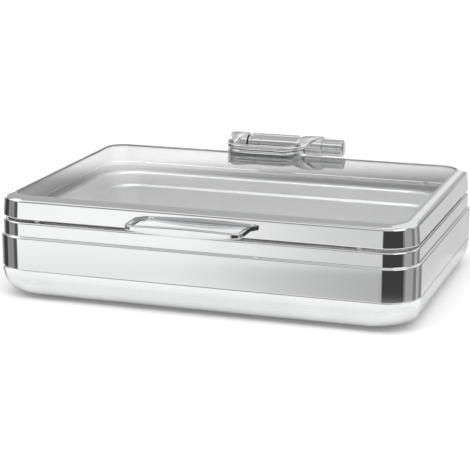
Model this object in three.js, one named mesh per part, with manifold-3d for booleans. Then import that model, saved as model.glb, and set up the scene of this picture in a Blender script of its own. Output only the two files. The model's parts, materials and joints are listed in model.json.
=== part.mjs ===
// Rectangular induction chafing dish with a hinged glass lid, for one full-size food pan.
// Millimetres, +Z up, +X to the right, +Y to the back, origin at the centre of the resting face.
import * as THREE from 'three';
import { mergeVertices } from 'three/addons/utils/BufferGeometryUtils.js';
import Module from 'manifold-3d';

const wasm = await Module();
wasm.setup();

// Clearances shared by all pieces
const contactGap = 0.3;
const cutOverrun = 2;
const weldTolerance = 0.0001;

// Facet counts
const cornerSteps = 6;
const bendSteps = 3;
const roundSides = 12;
const barrelSides = 20;
const bowlSteps = 4;
const beadSteps = 4;
const crownSteps = 5;
const hemSteps = 2;
const screwSides = 8;

// Food pan outline, full gastronorm size, and the margins of the body round it
const foodPanLength = 530;
const foodPanDepth = 325;
const foodPanEndMargin = 25;
const foodPanSideMargin = 40;

// Water pan: the outer body that stands on the table
const bodyLength = foodPanLength + 2 * foodPanEndMargin;
const bodyDepth = foodPanDepth + 2 * foodPanSideMargin;
const bodyCornerRadius = 46;
const bodySheet = 1.2;
const bowlHeight = 38;
const bowlCurveWidth = 22;
const bowlFootPull = 15.5;
const bowlWallPull = 21.5;
const bowlLean = 0.9;
const bowlCornerGrowth = 30;
const creaseDepth = 0.8;
const creaseHeight = 1.6;
const lowerBandHeight = 42.5;
const shoulderWidth = 3.2;
const shoulderHeight = 4.4;
const upperBandHeight = 15.4;
const rimRadius = 3.2;
const rimReturn = 2.2;

// Induction plate under the floor
const plateLength = 430;
const plateDepth = 255;
const plateCornerRadius = 30;
const plateThickness = 4;
const plateChamfer = 1;

// Deck: the ledge inside the rim that carries the food pan
const deckSheet = 1.2;
const deckDrop = 6.8;
const deckLip = 9;
const deckBend = 2.6;

// Food pan, 65 mm deep
const foodPanCornerRadius = 58;
const foodPanHeight = 65;
const foodPanSheet = 1;
const foodPanFlange = 12.5;
const foodPanHem = 3.2;
const foodPanBend = 4;
const foodPanClearance = 1.5;
const stackingDrop = 20;
const stackingWidth = 4;
const stackingHeight = 3;
const foodPanTaper = 4;
const foodPanFloorRadius = 12;

// Lid frame
const lidGap = 3.4;
const lidSheet = 1.2;
const lidFaceHeight = 21;
const lidFaceLean = 1.9;
const crownWidth = 13.6;
const crownHeight = 6.8;
const lipDrop = 3.5;
const hemRadius = 2;
const hemWidth = 9.2;

// Lid inner frame, which carries the glass from below
const innerSheet = 1;
const innerWallLean = 1.6;
const innerBend = 2;
const dripWidth = 3.2;

// Glass and its seal
const glassThickness = 4;
const glassChamfer = 0.5;
const sealWeb = 1.2;
const sealLipThickness = 0.8;
const sealTopReach = 1.6;
const sealBottomReach = 4.2;

// The handle and the bumpers sit a little left of the middle
const fittingsOffset = -3.5;

// Bumpers between the lid hem and the rim
const bumperInset = 69;
const bumperRadius = 4.2;
const bumperStemRadius = 1.8;
const bumperHeadRadius = 2.8;
const bumperHeadHeight = 1.4;

// Lid handle
const handleSpan = 152;
const handleReach = 42;
const handlePostDiameter = 7.2;
const handleBendRadius = 10;
const handleRise = 12.7;
const gripHeight = 13;
const gripUpperShare = 0.33;
const gripThickness = 7;
const gripSections = 9;
const handleBendSteps = 4;
const handleSides = 8;

// Screws
const screwShaftRadius = 2.4;
const screwHeadRadius = 4.4;
const screwHeadHeight = 2.6;
const handleWasherRadius = 6;
const handleWasherThickness = 1;

// Hinge barrel and knuckles, laid out along X
const barrelRadius = 12.8;
const knuckleRadius = 13.9;
const barrelBoreRadius = 10;
const barrelLength = 86.9;
const knuckleLength = 25.5;
const lidToBarrel = 4.8;
const hingeOffset = -1;
const axisRise = 8;
const barrelGrooveDepth = 1.8;
const damperGrooveDepth = 1;
const damperGrooveWidth = 1.6;

// Start and width of each ring groove, from the left end of the barrel
const barrelGrooves = [[2.2, 2], [5.4, 2.2], [16.5, 4]];

// Rail along the upper back of the barrel
const railRadius = 3.4;
const railBack = 12;
const railRise = 9.6;
const railLength = 75;

// Hinge shaft, bushes, plugs and spring
const shaftRadius = 6;
const shaftChamfer = 0.8;
const bushWall = 2.7;
const bushFlangeRadius = 12;
const bushFlangeThickness = 1.5;
const plugLength = 9;
const springWire = 2.4;
const springTurns = 9;
const springTurnSteps = 7;
const springSides = 4;
const springShaftGap = 0.7;

// Damper at the right end, and the end caps
const damperLength = 23.2;
const damperWall = 3;
const damperEndWall = 2.4;
const damperGrooveFromKnuckle = 7;
const rotorHubWall = 1.8;
const rotorVaneWidth = 4;
const rightCapLength = 8.2;
const leftCapLength = 2.7;
const capEdge = 1.4;
const capSpigotLength = 3;

// Hinge arm loop and the pad under it
const loopWidth = 115.5;
const loopReach = 49;
const loopCornerRadius = 30;
const loopBar = 11;
const loopThickness = 6.8;
const loopSideStraight = 2;
const loopBevel = 1.2;
const armThickness = 3.4;
const padThickness = 5.8;
const padRearBar = 11;
const padSkirtDepth = 5;
const stiffenerThickness = 2.6;
const stiffenerDepth = 6.8;
const stiffenerOverhang = 10;
const stiffenerDrop = 3.6;

// Shares of the arms' way from the loop to the back: along Y, upwards, sideways, and the
// growth in width of the right arm, which spreads early
const armYShares = [0, 0.18, 0.33, 0.49, 0.65, 0.82, 1, 1.2, 1.38];
const armZShares = [0, 0.02, 0.25, 0.58, 0.84, 0.98, 1, 0.95, 0.72];
const armSideShares = [0, 0.06, 0.16, 0.31, 0.5, 0.74, 1, 1, 1];
const armSpreadShares = [0, 0.25, 0.5, 0.74, 0.94, 1, 1, 1, 1];

// Hinge bracket on the back wall
const bracketPlateLength = 96;
const bracketPlateHeight = 34;
const bracketPlateThickness = 3.5;
const bracketPlateCorner = 6;
const bracketTopMargin = 3.5;
const bracketWebThickness = 4;
const bracketWebWidth = 56;
const bracketCheekThickness = 6;
const bracketScrewInset = 9;
const bracketCut = 1.6;
const backingPlateThickness = 3;

// Heights that follow from the sizes above
const floorZ = plateThickness + contactGap;
const creaseZ = floorZ + bowlHeight;
const shoulderZ = creaseZ + lowerBandHeight;
const upperBandZ = shoulderZ + shoulderHeight;
const rimTopZ = upperBandZ + upperBandHeight + rimRadius;
const deckTopZ = rimTopZ - deckDrop;
const foodPanRimZ = deckTopZ + contactGap + foodPanHem;
const hemZ = rimTopZ + lidGap;
const crownFootZ = hemZ + hemRadius + lidFaceHeight;
const lidTopZ = crownFootZ + crownHeight;
const glassTopZ = lidTopZ - sealLipThickness - contactGap;
const glassBottomZ = glassTopZ - glassThickness;
const innerTopZ = glassBottomZ - sealLipThickness - 2 * contactGap;
const loopPadZ = lidTopZ + contactGap;
const loopZ = loopPadZ + padThickness + contactGap;
const axisZ = lidTopZ + axisRise;

// Offsets from the widest outline of the body, negative towards the middle
const wallOut = -shoulderWidth;
const crownFootOut = wallOut - lidFaceLean;
const lipOut = crownFootOut - crownWidth;
const hemInnerOut = wallOut - hemRadius - hemWidth;
const innerWallOut = hemInnerOut - contactGap;
const innerWallTopOut = innerWallOut - innerWallLean;
const sealOut = lipOut - contactGap;
const glassOut = sealOut - sealWeb - contactGap;

// Hinge places
const rearFaceY = 0.5 * bodyDepth;
const axisY = rearFaceY + wallOut + lidToBarrel + barrelRadius;
const bushRadius = shaftRadius + contactGap + bushWall;
const flangeStep = bushFlangeThickness + 2 * contactGap;
const hingeLength =
  leftCapLength + contactGap + 2 * knuckleLength + 2 * flangeStep + barrelLength +
  contactGap + damperLength + contactGap + rightCapLength;
const leftKnuckleX = hingeOffset - 0.5 * hingeLength + leftCapLength + contactGap;
const barrelX = leftKnuckleX + knuckleLength + flangeStep;
const rightKnuckleX = barrelX + barrelLength + flangeStep;
const damperX = rightKnuckleX + knuckleLength + contactGap;
const rightCapX = damperX + damperLength + contactGap;
const loopLeftX = leftKnuckleX;
const loopRightX = loopLeftX + loopWidth;
const loopFrontY = axisY - loopReach;
const loopRearY = loopFrontY + loopCornerRadius + loopSideStraight;
const barrelMiddleX = barrelX + 0.5 * barrelLength;
const loopScrewY = rearFaceY + lipOut + 0.5 * crownWidth - 0.5 * bodySheet;

const root = new THREE.Group();
const lid = new THREE.Group();
root.add(lid);

// Materials by kind of surface
const finishes = {
  mirrorSteel: { color: 0xd9dadb, roughness: 0.06, metalness: 1 },
  satinSteel: { color: 0xc4c5c6, roughness: 0.3, metalness: 1 },
  platedSteel: { color: 0xb4b6b8, roughness: 0.22, metalness: 1 },
  springSteel: { color: 0x8c8e90, roughness: 0.35, metalness: 1 },
  clearGlass: { color: 0xe9f1ef, roughness: 0.03, metalness: 0 },
  greySeal: { color: 0x4b4d4e, roughness: 0.7, metalness: 0 },
  paleSilicone: { color: 0xd8d8d4, roughness: 0.6, metalness: 0 },
  darkPolymer: { color: 0x2f3133, roughness: 0.5, metalness: 0 },
};

// Adds one named piece to its parent group
function addPiece(parent, name, geometry, finish) {
  const mesh = new THREE.Mesh(geometry, new THREE.MeshStandardMaterial(finishes[finish]));
  mesh.name = name;
  parent.add(mesh);
  return mesh;
}

// Closed mesh with shared corners and no collapsed triangles, ready for joins and cuts
function toSolid(geometry) {
  const bare = geometry.clone();
  bare.deleteAttribute('normal');
  bare.deleteAttribute('uv');
  const welded = mergeVertices(bare, weldTolerance);
  const index = welded.index.array;
  const kept = [];
  for (let i = 0; i < index.length; i += 3) {
    const [a, b, c] = [index[i], index[i + 1], index[i + 2]];
    if (a !== b && b !== c && c !== a) kept.push(a, b, c);
  }
  const vertProperties = Float32Array.from(welded.attributes.position.array);
  const triVerts = Uint32Array.from(kept);
  return new wasm.Manifold(new wasm.Mesh({ numProp: 3, vertProperties, triVerts }));
}

// Triangle geometry of a joined or cut solid
function toGeometry(solid) {
  const mesh = solid.getMesh();
  const geometry = new THREE.BufferGeometry();
  geometry.setAttribute('position', new THREE.BufferAttribute(mesh.vertProperties, mesh.numProp));
  geometry.setIndex(new THREE.BufferAttribute(mesh.triVerts, 1));
  geometry.computeVertexNormals();
  return geometry;
}

function joinAll(geometries) {
  return geometries.map(toSolid).reduce((whole, next) => whole.add(next));
}

function cutAll(solid, cutters) {
  return cutters.reduce((whole, cutter) => whole.subtract(toSolid(cutter)), solid);
}

// Points of a quarter or half bend in the section plane, from one angle to another in degrees
function bend(centreOut, centreZ, radiusOut, radiusZ, fromAngle, toAngle, steps = bendSteps) {
  const from = THREE.MathUtils.degToRad(fromAngle);
  const to = THREE.MathUtils.degToRad(toAngle);
  const curve = new THREE.EllipseCurve(centreOut, centreZ, radiusOut, radiusZ, from, to, to < from);
  return curve.getPoints(steps);
}

// The same line moved sideways by a distance, to the left of its run
function offsetLine(line, distance) {
  return line.map((point, i) => {
    const before = line[Math.max(i - 1, 0)];
    const after = line[Math.min(i + 1, line.length - 1)];
    const inward = point.clone().sub(before).normalize();
    const outward = after.clone().sub(point).normalize();
    if (i === 0) inward.copy(outward);
    if (i === line.length - 1) outward.copy(inward);
    const along = inward.clone().add(outward).normalize();
    const stretch = 1 / Math.max(along.dot(inward), 0.5);
    return new THREE.Vector2(
      point.x - along.y * distance * stretch,
      point.y + along.x * distance * stretch,
    );
  });
}

// Closed section of a sheet: its outer line and the same line one thickness further in
function sheetSection(line, thickness) {
  return [...line, ...offsetLine(line, thickness).reverse()];
}

// One level of a rounded rectangle, counter-clockwise seen from above
function rectangleRing(halfLength, halfDepth, radius, z) {
  const points = [];
  const quarterTurn = 0.5 * Math.PI;
  const corners = [[1, -1], [1, 1], [-1, 1], [-1, -1]];
  corners.forEach(([sideX, sideY], corner) => {
    const x = sideX * (halfLength - radius);
    const y = sideY * (halfDepth - radius);
    for (let i = 0; i <= cornerSteps; i += 1) {
      const angle = quarterTurn * (corner - 1 + i / cornerSteps);
      points.push(new THREE.Vector3(x + radius * Math.cos(angle), y + radius * Math.sin(angle), z));
    }
  });
  return points;
}

function ringCentre(ring) {
  return ring.reduce((sum, corner) => sum.add(corner), new THREE.Vector3()).divideScalar(ring.length);
}

// Skin through a row of rings with equal point counts, closed on itself or capped at both ends
function skinRings(rings, closed) {
  const count = rings[0].length;
  const positions = rings.flat().flatMap((point) => [point.x, point.y, point.z]);
  const index = [];
  const spans = closed ? rings.length : rings.length - 1;
  for (let i = 0; i < spans; i += 1) {
    const low = i * count;
    const high = ((i + 1) % rings.length) * count;
    for (let j = 0; j < count; j += 1) {
      const next = (j + 1) % count;
      index.push(low + j, low + next, high + next, low + j, high + next, high + j);
    }
  }
  if (!closed) {
    const first = ringCentre(rings[0]);
    const last = ringCentre(rings[rings.length - 1]);
    const firstIndex = positions.length / 3;
    positions.push(first.x, first.y, first.z, last.x, last.y, last.z);
    const lastStart = (rings.length - 1) * count;
    for (let j = 0; j < count; j += 1) {
      const next = (j + 1) % count;
      index.push(firstIndex, next, j);
      index.push(firstIndex + 1, lastStart + j, lastStart + next);
    }
  }
  const geometry = new THREE.BufferGeometry();
  geometry.setAttribute('position', new THREE.Float32BufferAttribute(positions, 3));
  geometry.setIndex(index);
  geometry.computeVertexNormals();
  return geometry;
}

// Sweeps a section of (offset, height) points round a rounded rectangle
function frameSweep(section, length, depth, radius, closed = true, growth = () => 0) {
  const rings = section.map((point) => {
    const cornerRadius = Math.max(radius + point.x + growth(point), contactGap);
    return rectangleRing(0.5 * length + point.x, 0.5 * depth + point.x, cornerRadius, point.y);
  });
  return skinRings(rings, closed);
}

function bodySweep(section, closed = true, growth = undefined) {
  return frameSweep(section, bodyLength, bodyDepth, bodyCornerRadius, closed, growth);
}

function foodPanSweep(section, closed = true) {
  return frameSweep(section, foodPanLength, foodPanDepth, foodPanCornerRadius, closed);
}

function point(out, z) {
  return new THREE.Vector2(out, z);
}

// Turned piece on the Y axis, from (radius, distance along the axis) points
function turned(profile, sides) {
  return new THREE.LatheGeometry(profile.map(([radius, along]) => point(radius, along)), sides);
}

// The same on the hinge axis, from (radius, x) points
function turnedOnAxis(profile, sides = roundSides) {
  const geometry = turned(profile, sides);
  geometry.rotateZ(-0.5 * Math.PI);
  return geometry.translate(0, axisY, axisZ);
}

// Plain cylinder between two X places on the hinge axis
function barOnAxis(radius, fromX, toX, sides = roundSides) {
  const geometry = new THREE.CylinderGeometry(radius, radius, toX - fromX, sides);
  geometry.rotateZ(-0.5 * Math.PI);
  return geometry.translate(0.5 * (fromX + toX), axisY, axisZ);
}

// Tube on the hinge axis with chamfered outer edges
function tubeOnAxis(outerRadius, innerRadius, fromX, toX, chamfer) {
  const profile = [
    [innerRadius, fromX],
    [outerRadius - chamfer, fromX],
    [outerRadius, fromX + chamfer],
    [outerRadius, toX - chamfer],
    [outerRadius - chamfer, toX],
    [innerRadius, toX],
    [innerRadius, fromX],
  ];
  return turnedOnAxis(profile);
}

function turnFromY(direction) {
  return new THREE.Quaternion().setFromUnitVectors(new THREE.Vector3(0, 1, 0), direction);
}

// Straight hole or pin between two points
function pinBetween(from, to, radius, sides = screwSides) {
  const run = to.clone().sub(from);
  const geometry = new THREE.CylinderGeometry(radius, radius, run.length(), sides);
  geometry.applyQuaternion(turnFromY(run.clone().normalize()));
  return geometry.translate(...from.clone().lerp(to, 0.5).toArray());
}

// Screw with a domed head: head underside at a point, shaft along a direction
function screwAt(seat, direction, shaftLength) {
  const profile = [
    [0, -screwHeadHeight],
    [0.5 * screwHeadRadius, -screwHeadHeight],
    [screwHeadRadius, -0.4 * screwHeadHeight],
    [screwHeadRadius, 0],
    [screwShaftRadius, 0],
    [screwShaftRadius, shaftLength - contactGap],
    [screwShaftRadius - contactGap, shaftLength],
    [0, shaftLength],
  ];
  const geometry = turned(profile, screwSides);
  geometry.applyQuaternion(turnFromY(direction));
  return geometry.translate(seat.x, seat.y, seat.z);
}

// Outer line of the water pan, from the edge of the flat floor up to the end of the rolled rim
function waterPanLine() {
  const halfCrease = 0.5 * creaseHeight;
  const bowlTopZ = creaseZ - halfCrease;
  const bowl = new THREE.CubicBezierCurve(
    point(-bowlCurveWidth, floorZ),
    point(bowlFootPull - bowlCurveWidth, floorZ),
    point(-bowlLean, bowlTopZ - bowlWallPull),
    point(0, bowlTopZ),
  );
  const crease = [point(-creaseDepth, creaseZ), point(0, creaseZ + halfCrease)];
  const halfStep = 0.5 * shoulderHeight;
  const halfWidth = 0.5 * shoulderWidth;
  const convex = bend(-halfWidth, shoulderZ, halfWidth, halfStep, 0, 90, hemSteps);
  const concave = bend(-halfWidth, upperBandZ, halfWidth, halfStep, 270, 180, hemSteps).slice(1);
  const beadZ = rimTopZ - rimRadius;
  const bead = bend(wallOut - rimRadius, beadZ, rimRadius, rimRadius, 0, 180, beadSteps);
  const end = point(wallOut - 2 * rimRadius, beadZ - rimReturn);
  return [...bowl.getPoints(bowlSteps), ...crease, ...convex, ...concave, ...bead, end];
}

// The corners of the bowl turn rounder towards the floor
function bowlGrowth(sectionPoint) {
  const below = sectionPoint.y < creaseZ - creaseHeight;
  const share = THREE.MathUtils.clamp(-sectionPoint.x / bowlCurveWidth, 0, 1);
  return below ? bowlCornerGrowth * share : 0;
}

function buildWaterPan() {
  const shell = bodySweep(sheetSection(waterPanLine(), bodySheet), false, bowlGrowth);
  const holes = bracketScrewPlaces().map(([x, z]) => bracketHole(x, z));
  return toGeometry(cutAll(toSolid(shell), holes));
}

function buildInductionPlate() {
  const section = [
    point(-plateChamfer, 0),
    point(0, plateChamfer),
    point(0, plateThickness - plateChamfer),
    point(-plateChamfer, plateThickness),
  ];
  return frameSweep(section, plateLength, plateDepth, plateCornerRadius, false);
}

// Ring of sheet from the body wall to the opening for the food pan, with a lip turned down
function buildDeck() {
  const openingInset = foodPanFlange - foodPanClearance;
  const lip = bend(deckBend, deckTopZ - deckBend, deckBend, deckBend, 180, 90, hemSteps);
  const lipLine = [point(0, deckTopZ - deckLip), ...lip];
  const inner = sheetSection(lipLine, -deckSheet);
  const rings = inner.map((p) => {
    const length = 0.5 * foodPanLength - openingInset + p.x;
    const depth = 0.5 * foodPanDepth - openingInset + p.x;
    return rectangleRing(length, depth, foodPanCornerRadius - openingInset + p.x, p.y);
  });
  const edgeOut = wallOut - bodySheet - contactGap;
  const edge = (z) => rectangleRing(
    0.5 * bodyLength + edgeOut,
    0.5 * bodyDepth + edgeOut,
    bodyCornerRadius + edgeOut,
    z,
  );
  rings.splice(lipLine.length, 0, edge(deckTopZ), edge(deckTopZ - deckSheet));
  return skinRings(rings.reverse(), true);
}

// Outer line of the food pan, from the edge of its floor up to the hem of its flange
function foodPanLine() {
  const floor = foodPanRimZ - foodPanHeight;
  const wallTop = -foodPanFlange;
  const stepZ = foodPanRimZ - stackingDrop;
  const lowerWall = wallTop - stackingWidth;
  const foot = lowerWall - foodPanTaper;
  const floorCentreOut = foot - foodPanFloorRadius;
  const floorBend = bend(
    floorCentreOut, floor + foodPanFloorRadius, foodPanFloorRadius, foodPanFloorRadius, -90, 0,
  );
  const flangeZ = foodPanRimZ - foodPanSheet;
  const neckZ = flangeZ - foodPanBend;
  const neck = bend(wallTop + foodPanBend, neckZ, foodPanBend, foodPanBend, 180, 90, hemSteps);
  return [
    ...floorBend,
    point(lowerWall, stepZ - stackingHeight),
    point(lowerWall + 0.25 * stackingWidth, stepZ - 0.5 * stackingHeight),
    point(wallTop - 0.25 * stackingWidth, stepZ - 0.25 * stackingHeight),
    point(wallTop, stepZ + 0.5 * stackingHeight),
    ...neck,
    point(-foodPanHem, flangeZ),
    point(-foodPanSheet, flangeZ - foodPanSheet),
    point(-foodPanSheet, foodPanRimZ - foodPanHem),
  ];
}

function buildFoodPan() {
  return foodPanSweep(sheetSection(foodPanLine(), foodPanSheet), false);
}

// Outer line of the lid frame, from the inner end of the hem up over the crown to the lip
function lidFrameLine() {
  const hem = bend(wallOut - hemRadius, hemZ + hemRadius, hemRadius, hemRadius, -90, 0, hemSteps);
  const crown = new THREE.CubicBezierCurve(
    point(crownFootOut, crownFootZ),
    point(crownFootOut - 0.05 * crownWidth, crownFootZ + 0.62 * crownHeight),
    point(lipOut + 0.55 * crownWidth, lidTopZ - 0.07 * crownHeight),
    point(lipOut, lidTopZ),
  );
  return [
    point(hemInnerOut, hemZ),
    ...hem,
    ...crown.getPoints(crownSteps),
    point(lipOut, lidTopZ - lipDrop),
  ];
}

function buildLidFrame() {
  const shell = toSolid(bodySweep(sheetSection(lidFrameLine(), lidSheet)));
  const handleHoles = handlePlaces().map((x) => pinBetween(
    new THREE.Vector3(x, -(rearFaceY + wallOut) - cutOverrun, handleZ()),
    new THREE.Vector3(x, -(rearFaceY + hemInnerOut) - contactGap, handleZ()),
    screwShaftRadius + contactGap,
  ));
  const bumperHoles = bumperPlaces().map(([x, y]) => pinBetween(
    new THREE.Vector3(x, y, hemZ - cutOverrun),
    new THREE.Vector3(x, y, hemZ + lidSheet + cutOverrun),
    bumperStemRadius + contactGap,
  ));
  const loopHoles = loopScrewPlaces().map((x) => loopScrewHole(x));
  return toGeometry(cutAll(shell, [...handleHoles, ...bumperHoles, ...loopHoles]));
}

function buildInnerFrame() {
  const turn = bend(
    innerWallTopOut - innerBend, innerTopZ - innerBend, innerBend, innerBend, 0, 90, hemSteps,
  );
  const line = [
    point(innerWallOut - dripWidth, hemZ),
    point(innerWallOut - innerSheet, hemZ),
    point(innerWallOut, hemZ + innerSheet),
    ...turn,
    point(sealOut - sealBottomReach, innerTopZ),
  ];
  return bodySweep(sheetSection(line, innerSheet));
}

function buildGlass() {
  const section = [
    point(glassOut - glassChamfer, glassBottomZ),
    point(glassOut, glassBottomZ + glassChamfer),
    point(glassOut, glassTopZ - glassChamfer),
    point(glassOut - glassChamfer, glassTopZ),
  ];
  return bodySweep(section, false);
}

// Channel of silicone that wraps the edge of the glass
function buildSeal() {
  const bottomZ = innerTopZ + contactGap;
  const webInner = sealOut - sealWeb;
  const section = [
    point(sealOut - sealBottomReach + contactGap, bottomZ),
    point(sealOut, bottomZ),
    point(sealOut, lidTopZ - 0.25 * sealLipThickness),
    point(sealOut - 0.25 * sealLipThickness, lidTopZ),
    point(webInner - sealTopReach, lidTopZ),
    point(webInner - sealTopReach, lidTopZ - sealLipThickness),
    point(webInner, lidTopZ - sealLipThickness),
    point(webInner, bottomZ + sealLipThickness),
    point(sealOut - sealBottomReach + contactGap, bottomZ + sealLipThickness),
  ];
  return bodySweep(section);
}

// Four bumpers sit in the hem near the corners of the long sides
function bumperPlaces() {
  const left = fittingsOffset - 0.5 * bodyLength + bumperInset;
  const right = fittingsOffset + 0.5 * bodyLength - bumperInset;
  const y = rearFaceY + 0.5 * (wallOut + hemInnerOut - hemRadius);
  return [[left, -y], [right, -y], [right, y], [left, y]];
}

function buildBumper(x, y) {
  const foot = rimTopZ + contactGap;
  const hemTop = hemZ + lidSheet + contactGap;
  const padTop = hemZ - contactGap;
  const profile = [
    [0, foot],
    [bumperRadius, foot],
    [bumperRadius, padTop],
    [bumperStemRadius, padTop],
    [bumperStemRadius, hemTop],
    [bumperHeadRadius, hemTop],
    [bumperStemRadius, hemTop + bumperHeadHeight],
    [0, hemTop + bumperHeadHeight],
  ];
  const geometry = turned(profile, screwSides);
  geometry.rotateX(0.5 * Math.PI);
  return geometry.translate(x, y, 0);
}

function handleZ() {
  return hemZ + handleRise;
}

function handlePlaces() {
  return [fittingsOffset - 0.5 * handleSpan, fittingsOffset + 0.5 * handleSpan];
}

// Y of the leaning front face of the lid at a height
function frontFaceY(z) {
  const lean = (lidFaceLean * (z - hemZ - hemRadius)) / lidFaceHeight;
  return -(rearFaceY + wallOut - lean);
}

// Solid that fills the space behind the front face, moved forward by a gap
function frontFaceBlock(gap) {
  const lowY = frontFaceY(hemZ) - gap;
  const highY = frontFaceY(lidTopZ) - gap;
  const shape = new THREE.Shape();
  shape.moveTo(lowY, hemZ);
  shape.lineTo(highY, lidTopZ);
  shape.lineTo(highY + handleReach, lidTopZ);
  shape.lineTo(lowY + handleReach, hemZ);
  shape.closePath();
  const geometry = new THREE.ExtrudeGeometry(shape, { depth: 2 * handleSpan, bevelEnabled: false });
  geometry.rotateZ(0.5 * Math.PI);
  geometry.rotateY(0.5 * Math.PI);
  return geometry.translate(-handleSpan, 0, 0);
}

// Rail of the handle in plan, from the left post over the grip to the right post
function handleRail() {
  const z = handleZ();
  const x = 0.5 * handleSpan;
  const gripY = frontFaceY(z) - handleReach;
  const rootY = frontFaceY(z) + cutOverrun;
  const stations = [];
  const addCorner = (centreX, fromAngle, toAngle) => {
    for (let i = 0; i <= handleBendSteps; i += 1) {
      const angle = THREE.MathUtils.degToRad(fromAngle + ((toAngle - fromAngle) * i) / handleBendSteps);
      stations.push(new THREE.Vector3(
        centreX + handleBendRadius * Math.cos(angle),
        gripY + handleBendRadius + handleBendRadius * Math.sin(angle),
        z,
      ));
    }
  };
  stations.push(new THREE.Vector3(-x, rootY, z));
  addCorner(-x + handleBendRadius, 180, 270);
  const gripRun = 2 * (x - handleBendRadius);
  for (let i = 1; i < gripSections; i += 1) {
    stations.push(new THREE.Vector3(-0.5 * gripRun + (gripRun * i) / gripSections, gripY, z));
  }
  addCorner(x - handleBendRadius, 270, 360);
  stations.push(new THREE.Vector3(x, rootY, z));
  stations.forEach((station) => station.setX(station.x + fittingsOffset));
  return stations;
}

// The grip swells to its middle, more below than above
function buildHandle() {
  const rail = handleRail();
  const postRadius = 0.5 * handlePostDiameter;
  const gripHalf = 0.5 * handleSpan - handleBendRadius;
  const rings = rail.map((centre, i) => {
    const before = rail[Math.max(i - 1, 0)];
    const after = rail[Math.min(i + 1, rail.length - 1)];
    const along = after.clone().sub(before).normalize();
    const side = new THREE.Vector3(along.y, -along.x, 0);
    const swell = Math.cos(0.5 * Math.PI * Math.min(Math.abs(centre.x - fittingsOffset) / gripHalf, 1));
    const halfHeight = THREE.MathUtils.lerp(postRadius, 0.5 * gripHeight, swell);
    const halfThickness = THREE.MathUtils.lerp(postRadius, 0.5 * gripThickness, swell);
    const ring = [];
    for (let j = 0; j < handleSides; j += 1) {
      const angle = (2 * Math.PI * j) / handleSides;
      const rise = (2 * gripUpperShare - 1) * (halfHeight - postRadius);
      const height = halfHeight * Math.sin(angle) + rise;
      ring.push(centre.clone()
        .addScaledVector(side, halfThickness * Math.cos(angle))
        .add(new THREE.Vector3(0, 0, height)));
    }
    return ring;
  });
  const bow = toSolid(skinRings(rings.reverse(), false));
  const tapHoles = handlePlaces().map((x) => pinBetween(
    new THREE.Vector3(x, frontFaceY(handleZ()) - 0.5 * handleReach, handleZ()),
    new THREE.Vector3(x, frontFaceY(handleZ()) + cutOverrun, handleZ()),
    screwShaftRadius + contactGap,
    screwSides,
  ));
  return toGeometry(cutAll(bow, [frontFaceBlock(contactGap), ...tapHoles]));
}

// Inner face of the lid's front wall, where the handle washers sit
function washerSeatY() {
  return frontFaceY(handleZ()) + lidSheet + 2 * contactGap;
}

function buildHandleWasher(x) {
  const profile = [
    [screwShaftRadius + contactGap, 0],
    [handleWasherRadius, 0],
    [handleWasherRadius, handleWasherThickness],
    [screwShaftRadius + contactGap, handleWasherThickness],
    [screwShaftRadius + contactGap, 0],
  ];
  const seatY = washerSeatY() + faceTilt(handleWasherRadius);
  return turned(profile, screwSides).translate(x, seatY, handleZ());
}

// How far the leaning face moves over a height
function faceTilt(height) {
  return (lidFaceLean * height) / lidFaceHeight;
}

function buildHandleScrew(x) {
  const seatY = washerSeatY() + faceTilt(handleWasherRadius) + handleWasherThickness + contactGap;
  const length = seatY - frontFaceY(handleZ()) + 0.3 * handleReach;
  return screwAt(new THREE.Vector3(x, seatY, handleZ()), new THREE.Vector3(0, -1, 0), length);
}

// Plan outline of the hinge loop: straight front bar with two rounded front corners
function loopOutline(inset, rearY) {
  const left = loopLeftX + inset;
  const right = loopRightX - inset;
  const front = loopFrontY + inset;
  const radius = loopCornerRadius - inset;
  const shape = new THREE.Shape();
  shape.moveTo(right, rearY);
  shape.lineTo(left, rearY);
  shape.absarc(left + radius, front + radius, radius, Math.PI, 1.5 * Math.PI, false);
  shape.absarc(right - radius, front + radius, radius, 1.5 * Math.PI, 2 * Math.PI, false);
  shape.closePath();
  return shape;
}

// Plate cut from the loop outline between two heights, with bevelled edges
function loopPlate(z, thickness) {
  const plate = new THREE.ExtrudeGeometry(loopOutline(0, loopRearY), {
    depth: thickness - 2 * loopBevel,
    curveSegments: cornerSteps,
    bevelSegments: 1,
    bevelThickness: loopBevel,
    bevelSize: loopBevel,
    bevelOffset: -loopBevel,
  });
  plate.translate(0, 0, z + loopBevel);
  const window = new THREE.ExtrudeGeometry(
    loopOutline(loopBar, loopRearY + cutOverrun),
    { depth: thickness + 2 * cutOverrun, curveSegments: cornerSteps, bevelEnabled: false },
  );
  window.translate(0, 0, z - cutOverrun);
  return toSolid(plate).subtract(toSolid(window));
}

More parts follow.
